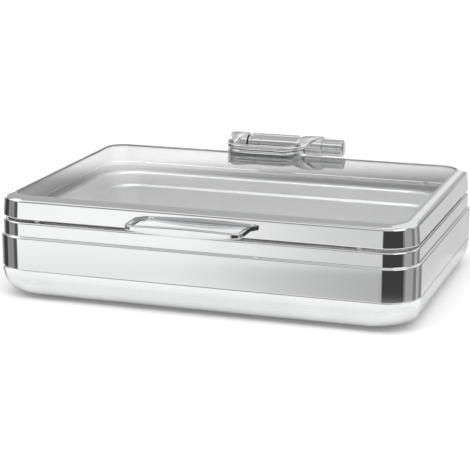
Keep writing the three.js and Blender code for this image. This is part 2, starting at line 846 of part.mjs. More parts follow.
// Arm from a side bar of the loop up and over a knuckle; the spread shares set its width
function armSweep(barX, knuckleMiddleX, spreadShares) {
  const crestHalf = 0.5 * armThickness;
  const barHalf = 0.5 * (loopThickness - contactGap);
  const crestZ = axisZ + barrelRadius + 2 * contactGap + crestHalf;
  const barZ = loopZ + 0.5 * loopThickness;
  const startY = loopRearY - 0.85 * loopBar;
  const runY = axisY - startY;
  const rail = armYShares.map((share, i) => new THREE.Vector3(
    THREE.MathUtils.lerp(barX, knuckleMiddleX, armSideShares[i]),
    startY + runY * share,
    THREE.MathUtils.lerp(barZ, crestZ, armZShares[i]),
  ));
  const rings = rail.map((centre, i) => {
    const before = rail[Math.max(i - 1, 0)];
    const after = rail[Math.min(i + 1, rail.length - 1)];
    const alongY = after.y - before.y;
    const alongZ = after.z - before.z;
    const half = THREE.MathUtils.lerp(barHalf, crestHalf, Math.min(armYShares[i], 1));
    const scale = half / Math.hypot(alongY, alongZ);
    const up = new THREE.Vector3(0, -alongZ * scale, alongY * scale);
    const halfWidth = 0.5 * THREE.MathUtils.lerp(loopBar, knuckleLength, spreadShares[i]);
    const edge = halfWidth - loopBevel;
    const lower = 1 - loopBevel / half;
    const corners = [
      [-edge, -1], [edge, -1], [halfWidth, -lower], [halfWidth, lower],
      [edge, 1], [-edge, 1], [-halfWidth, lower], [-halfWidth, -lower],
    ];
    return corners.map(([x, height]) => centre.clone()
      .addScaledVector(up, height)
      .add(new THREE.Vector3(x, 0, 0)));
  });
  return skinRings(rings.reverse(), false);
}

function buildArmLoop() {
  const plate = loopPlate(loopZ, loopThickness);
  const leftMiddle = leftKnuckleX + 0.5 * knuckleLength;
  const rightMiddle = rightKnuckleX + 0.5 * knuckleLength;
  const arms = joinAll([
    armSweep(loopLeftX + 0.5 * loopBar, leftMiddle, armSideShares),
    armSweep(loopRightX - 0.5 * loopBar, rightMiddle, armSpreadShares),
  ]);
  const knuckles = joinAll([leftKnuckleX, rightKnuckleX].map(
    (x) => barOnAxis(knuckleRadius, x, x + knuckleLength, barrelSides),
  ));
  const bores = [leftKnuckleX, rightKnuckleX].map((x) => barOnAxis(
    bushRadius + contactGap, x - cutOverrun, x + knuckleLength + cutOverrun,
  ));
  const screws = [loopScrewPlaces()[0], loopScrewPlaces()[3]].map((x) => loopScrewHole(x));
  return toGeometry(cutAll(plate.add(arms).add(knuckles), [...bores, ...screws]));
}

// X of the four screws: two through the side bars, two through the rear bar of the pad
function loopScrewPlaces() {
  const innerShare = 0.3;
  return [
    loopLeftX + 0.5 * loopBar,
    loopLeftX + innerShare * loopWidth,
    loopRightX - innerShare * loopWidth,
    loopRightX - 0.5 * loopBar,
  ];
}

function loopScrewHole(x) {
  return pinBetween(
    new THREE.Vector3(x, loopScrewY, stiffenerZ() - cutOverrun),
    new THREE.Vector3(x, loopScrewY, loopZ + loopThickness + cutOverrun),
    screwShaftRadius + contactGap,
  );
}

// Solid under the crown of the lid, raised by the contact gap, which shapes the pad's seat
function crownBlock() {
  const raised = offsetLine(lidFrameLine(), -contactGap);
  const rearOuter = raised.filter((p) => p.y > hemZ + hemRadius + contactGap);
  const section = [point(lipOut + contactGap, hemZ + hemRadius), ...rearOuter];
  return bodySweep(section);
}

// Pad between the loop and the lid: its rear part is shaped to the crown
function buildLoopPad() {
  const windowRearY = loopScrewY - 0.5 * padRearBar;
  const plate = loopPlate(loopPadZ, padThickness);
  const depth = loopRearY - windowRearY;
  const middleY = 0.5 * (loopRearY + windowRearY);
  const height = padThickness + crownHeight;
  const foot = new THREE.BoxGeometry(loopWidth - 2 * loopBevel, depth - 2 * loopBevel, height);
  foot.translate(0.5 * (loopLeftX + loopRightX), middleY, loopPadZ + padThickness - 0.5 * height);
  const seated = plate.add(toSolid(foot)).subtract(toSolid(crownBlock()));
  const below = new THREE.BoxGeometry(2 * loopWidth, 2 * depth, crownHeight);
  below.translate(0.5 * (loopLeftX + loopRightX), middleY, lidTopZ - padSkirtDepth - 0.5 * crownHeight);
  const holes = loopScrewPlaces().map((x) => loopScrewHole(x));
  return toGeometry(cutAll(seated, [below, ...holes]));
}

function stiffenerZ() {
  return innerTopZ - stiffenerDrop;
}

// Strip inside the lid that the loop screws grip
function buildStiffener() {
  const length = loopWidth + 2 * stiffenerOverhang;
  const bar = new THREE.BoxGeometry(length, stiffenerDepth, stiffenerThickness);
  bar.translate(0.5 * (loopLeftX + loopRightX), loopScrewY, stiffenerZ() + 0.5 * stiffenerThickness);
  const holes = loopScrewPlaces().map((x) => loopScrewHole(x));
  return toGeometry(cutAll(toSolid(bar), holes));
}

function buildLoopScrew(x, headZ) {
  const seat = headZ + contactGap;
  const length = seat - stiffenerZ();
  return screwAt(new THREE.Vector3(x, loopScrewY, seat), new THREE.Vector3(0, 0, -1), length);
}

// Centres of the four bracket screws on the back wall
function bracketScrewPlaces() {
  const halfX = 0.5 * bracketPlateLength - bracketScrewInset;
  const middleZ = bracketPlateZ() + 0.5 * bracketPlateHeight;
  const halfZ = 0.5 * bracketPlateHeight - bracketScrewInset;
  return [
    [barrelMiddleX - halfX, middleZ - halfZ],
    [barrelMiddleX + halfX, middleZ - halfZ],
    [barrelMiddleX + halfX, middleZ + halfZ],
    [barrelMiddleX - halfX, middleZ + halfZ],
  ];
}

function bracketPlateZ() {
  return shoulderZ - bracketTopMargin - bracketPlateHeight;
}

function bracketHole(x, z) {
  return pinBetween(
    new THREE.Vector3(x, rearFaceY - bodySheet - backingPlateThickness - cutOverrun, z),
    new THREE.Vector3(x, rearFaceY + bracketPlateThickness + cutOverrun, z),
    screwShaftRadius + contactGap,
  );
}

// Rounded plate standing on the back wall, between two Y places
function wallPlate(length, height, corner, fromY, toY) {
  const ring = (y) => {
    const flat = rectangleRing(0.5 * length, 0.5 * height, corner, 0);
    const middleZ = bracketPlateZ() + 0.5 * bracketPlateHeight;
    return flat.map((p) => new THREE.Vector3(barrelMiddleX - p.x, y, middleZ + p.y));
  };
  return skinRings([ring(fromY), ring(toY)], false);
}

// Side outline of the bracket between the plate and the barrel
function bracketOutline() {
  const frontY = rearFaceY + contactGap;
  const footZ = bracketPlateZ() + 0.5 * bracketPlateHeight;
  const plateY = frontY + bracketPlateThickness;
  const shape = new THREE.Shape();
  shape.moveTo(frontY, footZ);
  shape.lineTo(frontY, axisZ);
  shape.lineTo(axisY, axisZ);
  shape.lineTo(axisY + 0.8 * barrelRadius, axisZ);
  const bellyZ = THREE.MathUtils.lerp(shoulderZ, axisZ, 0.35);
  shape.quadraticCurveTo(axisY + 0.75 * barrelRadius, bellyZ, plateY, footZ);
  shape.closePath();
  return shape;
}

// Extrudes a (Y, Z) outline along X
function extrudeOnX(shape, fromX, toX) {
  const options = { depth: toX - fromX, curveSegments: cornerSteps, bevelEnabled: false };
  const geometry = new THREE.ExtrudeGeometry(shape, options);
  geometry.rotateZ(0.5 * Math.PI);
  geometry.rotateY(0.5 * Math.PI);
  return geometry.translate(fromX, 0, 0);
}

function webOutline() {
  const frontY = rearFaceY + contactGap;
  const footZ = bracketPlateZ() + 0.5 * bracketPlateHeight;
  const shape = new THREE.Shape();
  shape.moveTo(frontY, footZ);
  shape.lineTo(frontY, axisZ - 0.5 * barrelRadius);
  shape.lineTo(frontY + bracketWebThickness, axisZ);
  shape.lineTo(frontY + 2 * bracketWebThickness, axisZ - 0.6 * barrelRadius);
  shape.lineTo(frontY + bracketWebThickness, footZ);
  shape.closePath();
  return shape;
}

// Barrel outline with ring grooves near its left end
function barrelProfile() {
  const low = barrelRadius - barrelGrooveDepth;
  const grooves = barrelGrooves.flatMap(([start, width]) => {
    const x = barrelX + start;
    return [[barrelRadius, x], [low, x + 0.2 * width], [low, x + 0.8 * width], [barrelRadius, x + width]];
  });
  const end = barrelX + barrelLength;
  return [
    [0, barrelX], [barrelRadius - bracketCut, barrelX], [barrelRadius, barrelX + bracketCut],
    ...grooves,
    [barrelRadius, end - bracketCut], [barrelRadius - bracketCut, end], [0, end],
  ];
}

function buildHingeBody() {
  const barrel = turnedOnAxis(barrelProfile(), barrelSides);
  const frontY = rearFaceY + contactGap;
  const plate = wallPlate(
    bracketPlateLength, bracketPlateHeight, bracketPlateCorner, frontY, frontY + bracketPlateThickness,
  );
  const webLeft = barrelMiddleX - 0.5 * bracketWebWidth;
  const webRight = barrelMiddleX + 0.5 * bracketWebWidth;
  const rail = new THREE.CylinderGeometry(railRadius, railRadius, railLength, roundSides);
  rail.rotateZ(-0.5 * Math.PI);
  rail.translate(barrelX + 0.5 * railLength, axisY + railBack, axisZ + railRise);
  const whole = joinAll([
    barrel,
    rail,
    plate,
    extrudeOnX(webOutline(), webLeft, webRight),
    extrudeOnX(bracketOutline(), webLeft, webLeft + bracketCheekThickness),
    extrudeOnX(bracketOutline(), webRight - bracketCheekThickness, webRight),
  ]);
  const bore = barOnAxis(barrelBoreRadius, barrelX - cutOverrun, barrelX + barrelLength + cutOverrun);
  const holes = bracketScrewPlaces().map(([x, z]) => bracketHole(x, z));
  return toGeometry(cutAll(whole, [bore, ...holes]));
}

function buildBackingPlate() {
  const outerY = rearFaceY - bodySheet - contactGap;
  const plate = wallPlate(
    bracketPlateLength, bracketPlateHeight, bracketPlateCorner, outerY - backingPlateThickness, outerY,
  );
  const holes = bracketScrewPlaces().map(([x, z]) => bracketHole(x, z));
  return toGeometry(cutAll(toSolid(plate), holes));
}

function buildBracketScrew(x, z) {
  const seatY = rearFaceY + bracketPlateThickness + 2 * contactGap;
  const length = bracketPlateThickness + bodySheet + backingPlateThickness + 3 * contactGap;
  return screwAt(new THREE.Vector3(x, seatY, z), new THREE.Vector3(0, -1, 0), length);
}

function buildShaft() {
  const from = leftKnuckleX + capSpigotLength + contactGap;
  const to = damperX + damperLength - capSpigotLength;
  const profile = [
    [0, from],
    [shaftRadius - shaftChamfer, from],
    [shaftRadius, from + shaftChamfer],
    [shaftRadius, to - shaftChamfer],
    [shaftRadius - shaftChamfer, to],
    [0, to],
  ];
  return turnedOnAxis(profile);
}

// Flanged bush pressed into a knuckle: its flange runs against the barrel end
function buildBush(flangeFromX, direction) {
  const tip = flangeFromX - direction * (knuckleLength - capSpigotLength - contactGap);
  const face = flangeFromX + direction * (bushFlangeThickness + contactGap);
  const shoulder = flangeFromX + direction * contactGap;
  const bore = shaftRadius + contactGap;
  const profile = [
    [bore, tip], [bushRadius, tip], [bushRadius, shoulder],
    [bushFlangeRadius, shoulder], [bushFlangeRadius, face], [bore, face], [bore, tip],
  ];
  if (direction < 0) profile.reverse();
  return turnedOnAxis(profile);
}

// Plug that holds the shaft in an end of the barrel
function buildPlug(fromX) {
  const outer = barrelBoreRadius - contactGap;
  return tubeOnAxis(outer, shaftRadius + contactGap, fromX, fromX + plugLength, shaftChamfer);
}

// Torsion spring wound round the shaft between the two plugs
function buildSpring() {
  const wire = 0.5 * springWire;
  const coil = shaftRadius + springShaftGap + wire;
  const from = barrelX + plugLength + contactGap + wire;
  const to = barrelX + barrelLength - plugLength - contactGap - wire;
  const steps = springTurns * springTurnSteps;
  const rings = [];
  for (let i = 0; i <= steps; i += 1) {
    const angle = (2 * Math.PI * i) / springTurnSteps;
    const radial = new THREE.Vector3(0, Math.cos(angle), Math.sin(angle));
    const x = from + ((to - from) * i) / steps;
    const centre = new THREE.Vector3(x, axisY, axisZ).addScaledVector(radial, coil);
    const ring = [];
    for (let j = 0; j < springSides; j += 1) {
      const turn = (2 * Math.PI * j) / springSides;
      ring.push(centre.clone()
        .addScaledVector(radial, wire * Math.cos(turn))
        .add(new THREE.Vector3(wire * Math.sin(turn), 0, 0)));
    }
    rings.push(ring);
  }
  return skinRings(rings.reverse(), false);
}

// Cup of the damper: closed towards the knuckle, open towards the cap
function buildDamperHousing() {
  const inner = barrelRadius - damperWall;
  const end = damperX + damperLength;
  const groove = damperX + damperGrooveFromKnuckle;
  const low = barrelRadius - damperGrooveDepth;
  const profile = [
    [shaftRadius + contactGap, damperX],
    [barrelRadius - shaftChamfer, damperX],
    [barrelRadius, damperX + shaftChamfer],
    [barrelRadius, groove],
    [low, groove + 0.5 * damperGrooveWidth],
    [barrelRadius, groove + damperGrooveWidth],
    [barrelRadius, end],
    [inner, end],
    [inner, damperX + damperEndWall],
    [shaftRadius + contactGap, damperX + damperEndWall],
    [shaftRadius + contactGap, damperX],
  ];
  return turnedOnAxis(profile, barrelSides);
}

// Rotor keyed to the shaft inside the damper: a hub with two vanes
function buildRotor() {
  const hub = shaftRadius + contactGap + rotorHubWall;
  const tip = barrelRadius - damperWall - contactGap;
  const from = damperX + damperEndWall + contactGap;
  const to = damperX + damperLength - capSpigotLength - contactGap;
  const vanes = new THREE.BoxGeometry(to - from, 2 * tip, rotorVaneWidth);
  vanes.translate(0.5 * (from + to), axisY, axisZ);
  const solid = joinAll([barOnAxis(hub, from, to), vanes]);
  const round = toSolid(barOnAxis(tip, from - cutOverrun, to + cutOverrun));
  const bore = barOnAxis(shaftRadius + contactGap, from - cutOverrun, to + cutOverrun);
  return toGeometry(cutAll(solid.intersect(round), [bore]));
}

// End cap with a spigot: the long one closes the damper, the flat one closes the left knuckle
function buildCap(seatX, direction, length, spigotRadius) {
  const outer = seatX + direction * length;
  const tip = seatX - direction * (capSpigotLength - contactGap);
  const profile = [
    [0, tip], [spigotRadius, tip], [spigotRadius, seatX], [barrelRadius, seatX],
    [barrelRadius, outer - direction * capEdge], [barrelRadius - capEdge, outer], [0, outer],
  ];
  if (direction < 0) profile.reverse();
  return turnedOnAxis(profile, barrelSides);
}

function addBody() {
  addPiece(root, 'water_pan', buildWaterPan(), 'mirrorSteel');
  addPiece(root, 'induction_plate', buildInductionPlate(), 'satinSteel');
  addPiece(root, 'deck_ring', buildDeck(), 'satinSteel');
  addPiece(root, 'food_pan', buildFoodPan(), 'satinSteel');
}

function addHingeBase() {
  addPiece(root, 'hinge_body', buildHingeBody(), 'mirrorSteel');
  addPiece(root, 'hinge_backing_plate', buildBackingPlate(), 'satinSteel');
  bracketScrewPlaces().forEach(([x, z], i) => {
    addPiece(root, `bracket_screw_${i + 1}`, buildBracketScrew(x, z), 'platedSteel');
  });
  addPiece(root, 'hinge_shaft', buildShaft(), 'platedSteel');
  addPiece(root, 'shaft_plug_left', buildPlug(barrelX), 'platedSteel');
  addPiece(root, 'shaft_plug_right', buildPlug(barrelX + barrelLength - plugLength), 'platedSteel');
  addPiece(root, 'torsion_spring', buildSpring(), 'springSteel');
  addPiece(root, 'damper_rotor', buildRotor(), 'darkPolymer');
}

function addLid() {
  addPiece(lid, 'lid_frame', buildLidFrame(), 'mirrorSteel');
  addPiece(lid, 'lid_inner_frame', buildInnerFrame(), 'satinSteel');
  addPiece(lid, 'glass_seal', buildSeal(), 'greySeal');
  addPiece(lid, 'glass_panel', buildGlass(), 'clearGlass');
  bumperPlaces().forEach(([x, y], i) => {
    addPiece(lid, `lid_bumper_${i + 1}`, buildBumper(x, y), 'paleSilicone');
  });
  addPiece(lid, 'lid_handle', buildHandle(), 'mirrorSteel');
  handlePlaces().forEach((x, i) => {
    const side = ['left', 'right'][i];
    addPiece(lid, `handle_washer_${side}`, buildHandleWasher(x), 'platedSteel');
    addPiece(lid, `handle_screw_${side}`, buildHandleScrew(x), 'platedSteel');
  });
}

function addHingeLid() {
  addPiece(lid, 'hinge_arm_loop', buildArmLoop(), 'mirrorSteel');
  addPiece(lid, 'loop_pad', buildLoopPad(), 'mirrorSteel');
  addPiece(lid, 'lid_stiffener', buildStiffener(), 'satinSteel');
  const headHeights = [loopZ + loopThickness, loopPadZ + padThickness];
  loopScrewPlaces().forEach((x, i) => {
    const outerBar = i === 0 || i === 3;
    addPiece(lid, `loop_screw_${i + 1}`, buildLoopScrew(x, headHeights[outerBar ? 0 : 1]), 'platedSteel');
  });
  addPiece(lid, 'knuckle_bush_left', buildBush(leftKnuckleX + knuckleLength, 1), 'darkPolymer');
  addPiece(lid, 'knuckle_bush_right', buildBush(rightKnuckleX, -1), 'darkPolymer');
  addPiece(lid, 'damper_housing', buildDamperHousing(), 'mirrorSteel');
  const leftCap = buildCap(leftKnuckleX - contactGap, -1, leftCapLength, bushRadius);
  const rightCap = buildCap(rightCapX, 1, rightCapLength, barrelRadius - damperWall - contactGap);
  addPiece(lid, 'end_cap_left', leftCap, 'mirrorSteel');
  addPiece(lid, 'end_cap_right', rightCap, 'mirrorSteel');
}

addBody();
addHingeBase();
addLid();
addHingeLid();

export default root;
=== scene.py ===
"""Chafing dish of polished steel with a hinged glass lid: finished surfaces, studio and camera."""
import json
from math import cos, pi, radians, sin

import bmesh
import bpy
from mathutils import Matrix, Vector


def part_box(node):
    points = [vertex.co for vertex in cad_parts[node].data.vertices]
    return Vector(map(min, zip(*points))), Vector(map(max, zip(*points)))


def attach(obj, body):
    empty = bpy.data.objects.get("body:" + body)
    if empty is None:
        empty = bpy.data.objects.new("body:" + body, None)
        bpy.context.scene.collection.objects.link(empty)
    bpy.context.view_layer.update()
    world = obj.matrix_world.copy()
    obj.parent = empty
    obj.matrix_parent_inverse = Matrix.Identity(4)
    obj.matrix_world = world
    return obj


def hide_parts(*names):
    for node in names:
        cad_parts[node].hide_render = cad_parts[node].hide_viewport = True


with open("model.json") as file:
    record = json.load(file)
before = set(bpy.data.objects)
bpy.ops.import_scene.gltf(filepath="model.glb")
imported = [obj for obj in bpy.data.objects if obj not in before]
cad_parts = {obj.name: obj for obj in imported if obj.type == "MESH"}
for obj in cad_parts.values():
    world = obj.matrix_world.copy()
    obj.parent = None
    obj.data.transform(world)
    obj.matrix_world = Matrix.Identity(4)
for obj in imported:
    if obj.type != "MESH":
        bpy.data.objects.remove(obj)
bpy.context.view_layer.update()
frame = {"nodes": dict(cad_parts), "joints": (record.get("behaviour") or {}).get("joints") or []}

X_AXIS = Vector((1, 0, 0))
Y_AXIS = Vector((0, 1, 0))
Z_AXIS = Vector((0, 0, 1))
ZERO = (0, 0, 0)

# Facets of the fine pieces
CORNER_STEPS = 20
BEND_STEPS = 6
TURN_STEPS = 72
SMALL_TURN_STEPS = 32
WELD = 0.000002
STACK_STEP = 0.05
SHARP_ANGLE = radians(38)

# Gap between pieces that touch
CONTACT_GAP = 0.0003

# Water pan
pan_low, pan_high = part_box("water_pan")
HALF_LENGTH = pan_high[0]
HALF_DEPTH = pan_high[1]
FLOOR_Z = pan_low[2]
RIM_TOP_Z = pan_high[2]
BODY_CORNER = 0.046
BODY_SHEET = 0.0012
BOWL_WIDTH = 0.022
BOWL_FOOT_PULL = 0.0155
BOWL_WALL_PULL = 0.0215
BOWL_LEAN = 0.0009
BOWL_CORNER_GROWTH = 0.030
BOWL_HEIGHT = 0.038
CREASE_DEPTH = 0.0008
CREASE_HEIGHT = 0.0016
CREASE_SHARES = ((0.3, -0.7), (1, 0), (0.3, 0.7), (0, 1.5))
LOWER_BAND_HEIGHT = 0.0425
SHOULDER_WIDTH = 0.0032
SHOULDER_HEIGHT = 0.0044
RIM_RADIUS = 0.0032
RIM_RETURN = 0.0022
CREASE_Z = FLOOR_Z + BOWL_HEIGHT
SHOULDER_Z = CREASE_Z + LOWER_BAND_HEIGHT
UPPER_BAND_Z = SHOULDER_Z + SHOULDER_HEIGHT
WALL_OUT = -SHOULDER_WIDTH

# Plate under the floor
PLATE_CORNER = 0.030
PLATE_EDGE = 0.001

# Deck inside the rim
DECK_SHEET = 0.0012
DECK_LIP = 0.009
DECK_BEND = 0.0026

# Food pan
food_low, food_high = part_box("food_pan")
FOOD_CORNER = 0.058
FOOD_SHEET = 0.001
FOOD_FLANGE = 0.0125
FOOD_HEM = 0.0032
FOOD_BEND = 0.004
FOOD_CLEARANCE = 0.0015
STACKING_DROP = 0.020
STACKING_WIDTH = 0.004
STACKING_HEIGHT = 0.003
FOOD_TAPER = 0.004
FOOD_FLOOR_RADIUS = 0.012

# Lid frame
lid_low, lid_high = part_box("lid_frame")
HEM_Z = lid_low[2]
LID_TOP_Z = lid_high[2]
LID_SHEET = 0.0012
FACE_HEIGHT = 0.021
FACE_LEAN = 0.0019
CROWN_WIDTH = 0.0136
CROWN_FOOT_PULL = (0.05, 0.62)
CROWN_LIP_PULL = (0.55, 0.07)
LIP_DROP = 0.0035
HEM_RADIUS = 0.002
HEM_WIDTH = 0.0092
CROWN_FOOT_Z = HEM_Z + HEM_RADIUS + FACE_HEIGHT
CROWN_HEIGHT = LID_TOP_Z - CROWN_FOOT_Z
CROWN_FOOT_OUT = WALL_OUT - FACE_LEAN
LIP_OUT = CROWN_FOOT_OUT - CROWN_WIDTH
HEM_INNER_OUT = WALL_OUT - HEM_RADIUS - HEM_WIDTH

# Inner frame, seal and glass
INNER_SHEET = 0.001
INNER_LEAN = 0.0016
INNER_BEND = 0.002
DRIP_WIDTH = 0.0032
SEAL_WEB = 0.0012
SEAL_LIP = 0.0008
SEAL_TOP_REACH = 0.0016
SEAL_BOTTOM_REACH = 0.0042
GLASS_EDGE = 0.0005
SEAL_OUT = LIP_OUT - CONTACT_GAP

# Bumpers
BUMPER_STEM = 0.0018
BUMPER_HEAD = 0.0014
BUMPER_EDGE_SHARE = 0.25

# Handle
handle_low, handle_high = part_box("lid_handle")
HANDLE_SPAN = 0.152
HANDLE_BEND = 0.010
POST_RADIUS = 0.0036
GRIP_HEIGHT = 0.013
GRIP_UPPER_SHARE = 0.33
GRIP_THICKNESS = 0.007
GRIP_STEPS = 24
GRIP_FRONT_ROUNDING = 0.45
GRIP_BACK_ROUNDING = 0.95

# Hinge
BARREL_RADIUS = 0.0128
KNUCKLE_RADIUS = 0.0139
BARREL_BORE = 0.010
BARREL_GROOVE_DEPTH = 0.0018
BARREL_GROOVES = ((0.0022, 0.002), (0.0054, 0.0022), (0.0165, 0.004))
DAMPER_GROOVE_DEPTH = 0.001
DAMPER_GROOVE_WIDTH = 0.0016
RAIL_RADIUS = 0.0034
RAIL_BACK = 0.012
RAIL_RISE = 0.0096
RAIL_LENGTH = 0.075
KNUCKLE_LENGTH = 0.0255
SHAFT_RADIUS = 0.006
BUSH_RADIUS = 0.009
BUSH_FLANGE = 0.012
FLANGE_THICKNESS = 0.0015
EDGE_SHARE = 0.2
SPIGOT = 0.003
CAP_EDGE = 0.0014
DAMPER_WALL = 0.003
DAMPER_GROOVE = 0.007
LOOP_BAR = 0.011
LOOP_THICKNESS = 0.0068
LOOP_CORNER = 0.030
LOOP_EDGE = 0.0014
ARM_THICKNESS = 0.0034
PAD_THICKNESS = 0.0058
PAD_REAR_BAR = 0.011
PAD_SKIRT = 0.005
LOOP_ROUNDING = 0.50
ARM_ROUNDING = 0.70
ARM_ROOT_SHARE = 0.85
ARM_CLEARANCE = 1.4 * CONTACT_GAP
PAD_ROUNDING = 0.80
ARM_Y_SHARES = (0, 0.18, 0.33, 0.49, 0.65, 0.82, 1, 1.2, 1.38)
ARM_Z_SHARES = (0, 0.02, 0.25, 0.58, 0.84, 0.98, 1, 0.95, 0.72)
ARM_SIDE_SHARES = (0, 0.06, 0.16, 0.31, 0.5, 0.74, 1, 1, 1)
ARM_SPREAD_SHARES = (0, 0.25, 0.5, 0.74, 0.94, 1, 1, 1, 1)
BARREL_LENGTH = 0.0869
BRACKET_CUT = 0.0016
BRACKET_HEIGHT = 0.034
BRACKET_CORNER = 0.006
BRACKET_PLATE = 0.0035
BRACKET_WEB = 0.004
BRACKET_WEB_WIDTH = 0.056
BRACKET_CHEEK = 0.006
CHEEK_BELLY_SHARE = 0.35
CHEEK_SHARES = ((0.8, -0.55), (0.75, 0), (0.35, -0.4))
SCREW_SHAFT_RADIUS = 0.0024
SCREW_HEAD_RADIUS = 0.0044
SCREW_HEAD_HEIGHT = 0.0026
SCREW_DOME_SHARE = 0.4
SCREW_SOCKET_RADIUS = 0.0021
SCREW_SOCKET_DEPTH = 0.6 * SCREW_HEAD_HEIGHT
SCREW_FACE_RADIUS = 1.25 * SCREW_SOCKET_RADIUS
hinge_axis = Vector(frame["joints"][0]["pos_m"])
loop_low, loop_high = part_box("hinge_arm_loop")
pad_box_low, pad_box_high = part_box("loop_pad")
bracket_low, bracket_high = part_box("hinge_body")
loop_left = pad_box_low[0]
loop_right = pad_box_high[0]
loop_front = pad_box_low[1]
loop_rear = pad_box_high[1]
loop_bottom = pad_box_high[2] + CONTACT_GAP
knuckle_left = loop_low[0]
knuckle_right = loop_high[0] - KNUCKLE_LENGTH
barrel_left = 0.5 * (bracket_low[0] + bracket_high[0] - BARREL_LENGTH)
BRACKET_FOOT_Z = bracket_low[2] + 0.5 * BRACKET_HEIGHT

# Glass, and the share of the surface that shows handling marks
GLASS_IOR = 1.45
MARKS_RANGE = (0.48, 0.72)

# Studio: floor, lamp and camera, in metres
FLOOR_SIZE = 5.2
FLOOR_COLOUR = 0.80
# Floor glow is painted light; its weaker level near the dish paints shade round the foot
FLOOR_PAINTED_GLOW_NEAR = 0.18
FLOOR_PAINTED_GLOW_FAR = 0.46
FLOOR_PAINTED_GLOW_MIRRORED = 0.12
FLOOR_PAINTED_GLOW_REACH = (0.10, 1.60)
FLOOR_MIRRORED_REACH = (0.03, 0.08)
LAMP_SIZE = 3.0
LAMP_POWER = 76.0
LAMP_PLACE = (0.3, -1.2, 3.2)
CAMERA_PLACE = (0.71758, -2.19076, 0.65592)
CAMERA_TARGET = (-0.011386, 0, 0.060742)
CAMERA_LENS = 129.97
CAMERA_SENSOR = 36

# Room levels by elevation in degrees, all round
ROOM_LEVELS = (
    (-90, 0.72), (-60, 0.78), (-38, 0.86), (-21, 1.05), (-17.2, 0.98), (-16.3, 0.88),
    (-15, 0.98), (-14, 1.02), (-4, 1.04), (2, 1.0),
    (4, 0.32), (40, 0.32), (43, 0.95), (57, 0.95), (60, 0.46), (73, 0.46), (77, 0.95), (90, 0.95),
)

# Soft-edged panels: azimuths from the front towards the right, elevations, softness, level
PANELS = (
    ((-17, 72), (-17.6, 7), 4.0, 0.8, 0.69),
    ((-16.5, 72), (-17.6, -15.5), 5.5, 0.3, 0.46),
    ((-1.5, 70), (-17.6, 8), 1.5, 0.8, 0.05),
    ((70, 77), (-17.6, 8), 1.5, 0.8, 0.20),
    ((77, 105), (-17.6, 8), 1.5, 0.8, 0.38),
    ((105, 123), (-17.6, 8), 1.5, 0.8, 0.22),
    ((123, 137), (-17.6, 8), 1.5, 0.8, 0.46),
    ((137, 164), (-17.6, 8), 1.5, 0.8, 0.26),
    ((164, 190), (-17.6, 8), 1.0, 0.8, 0.66),
    ((-60, -44), (-17.6, 8), 1.5, 0.8, 0.10),
    ((-88, -60), (-17.6, 8), 1.5, 0.8, 0.28),
    ((-136, -88), (-17.6, 8), 1.5, 0.8, 0.05),
    ((118, 190), (8, 17), 4.0, 2.0, 0.47),
    ((118, 190), (17, 73), 4.0, 2.0, 0.85),
    ((164, 190), (-30, -15.5), 1.5, 1.5, 0.64),
    ((-190, -118), (-60, -8), 8.0, 8.0, 0.35),
    ((-190, -118), (2, 12.4), 8.0, 0.6, 1.7),
    ((-190, -118), (12.4, 73), 8.0, 0.6, 0.46),
    ((-190, -171), (12.4, 60), 2.0, 0.6, 0.85),
    ((38, 88), (20, 60), 3.0, 4.0, 1.3),
    ((-100, -44), (20, 60), 3.0, 4.0, 1.3),
)


def arc(out, z, radius_out, radius_z, start, end, steps=BEND_STEPS):
    """Points of a bend in a section, between two angles in degrees."""
    points = []
    for step in range(steps + 1):
        angle = radians(start + (end - start) * step / steps)
        points.append((out + radius_out * cos(angle), z + radius_z * sin(angle)))
    return points


def bezier(first, pull, push, last, steps):
    """Points of a smooth curve between two ends, shaped by two handles."""
    points = []
    for step in range(steps + 1):
        t = step / steps
        shares = ((1 - t) ** 3, 3 * t * (1 - t) ** 2, 3 * t * t * (1 - t), t ** 3)
        corners = (first, pull, push, last)
        points.append(tuple(sum(w * c[i] for w, c in zip(shares, corners)) for i in range(2)))
    return points


def rounded_outline(bm, half_length, half_depth, radius, z):
    """Rounded rectangle at a height: the face inside it and its edges."""
    known = set(bm.edges)
    signs = ((-1, -1), (1, -1), (1, 1), (-1, 1))
    corners = [bm.verts.new((x * half_length, y * half_depth, z)) for x, y in signs]
    bm.faces.new(corners)
    bmesh.ops.bevel(
        bm, geom=corners, offset=radius, offset_type="OFFSET", affect="VERTICES",
        segments=CORNER_STEPS, profile=0.5, material=-1,
    )
    edges = [edge for edge in bm.edges if edge not in known]
    return edges[0].link_faces[0], edges


def outlines_of(section, half_length, half_depth, corner, growth=None):
    """Rounded rectangles, one for each (offset, height) point of a section."""
    return [
        (half_length + out, half_depth + out, corner + out + (growth(out, z) if growth else 0), z)
        for out, z in section
    ]


def bridge_outlines(bm, outlines, closed=False):
    """Skin through a row of rounded rectangles. They are stacked apart while they are bridged."""
    rings = []
    caps = []
    for number, (half_length, half_depth, radius, z) in enumerate(outlines):
        stacked = z + number * STACK_STEP
        face, edges = rounded_outline(bm, half_length, half_depth, radius, stacked)
        rings.append(edges)
        caps.append(face)
    bmesh.ops.delete(bm, geom=caps, context="FACES_ONLY")
    pairs = list(zip(rings, rings[1:]))
    if closed:
        pairs.append((rings[-1], rings[0]))
    for lower, upper in pairs:
        bmesh.ops.bridge_loops(bm, edges=lower + upper)
    for number, edges in enumerate(rings):
        verts = list({vert for edge in edges for vert in edge.verts})
        bmesh.ops.translate(bm, vec=(0, 0, -number * STACK_STEP), verts=verts)
    return rings


def bridge_rings(bm, section, half_length, half_depth, corner, growth=None, closed=False):
    """Skin of a section, given as (offset, height) points, round a rounded rectangle."""
    return bridge_outlines(bm, outlines_of(section, half_length, half_depth, corner, growth), closed)


def fill_ring(bm, edges):
    """Flat face inside a closed ring of edges."""
    bmesh.ops.contextual_create(bm, geom=edges)


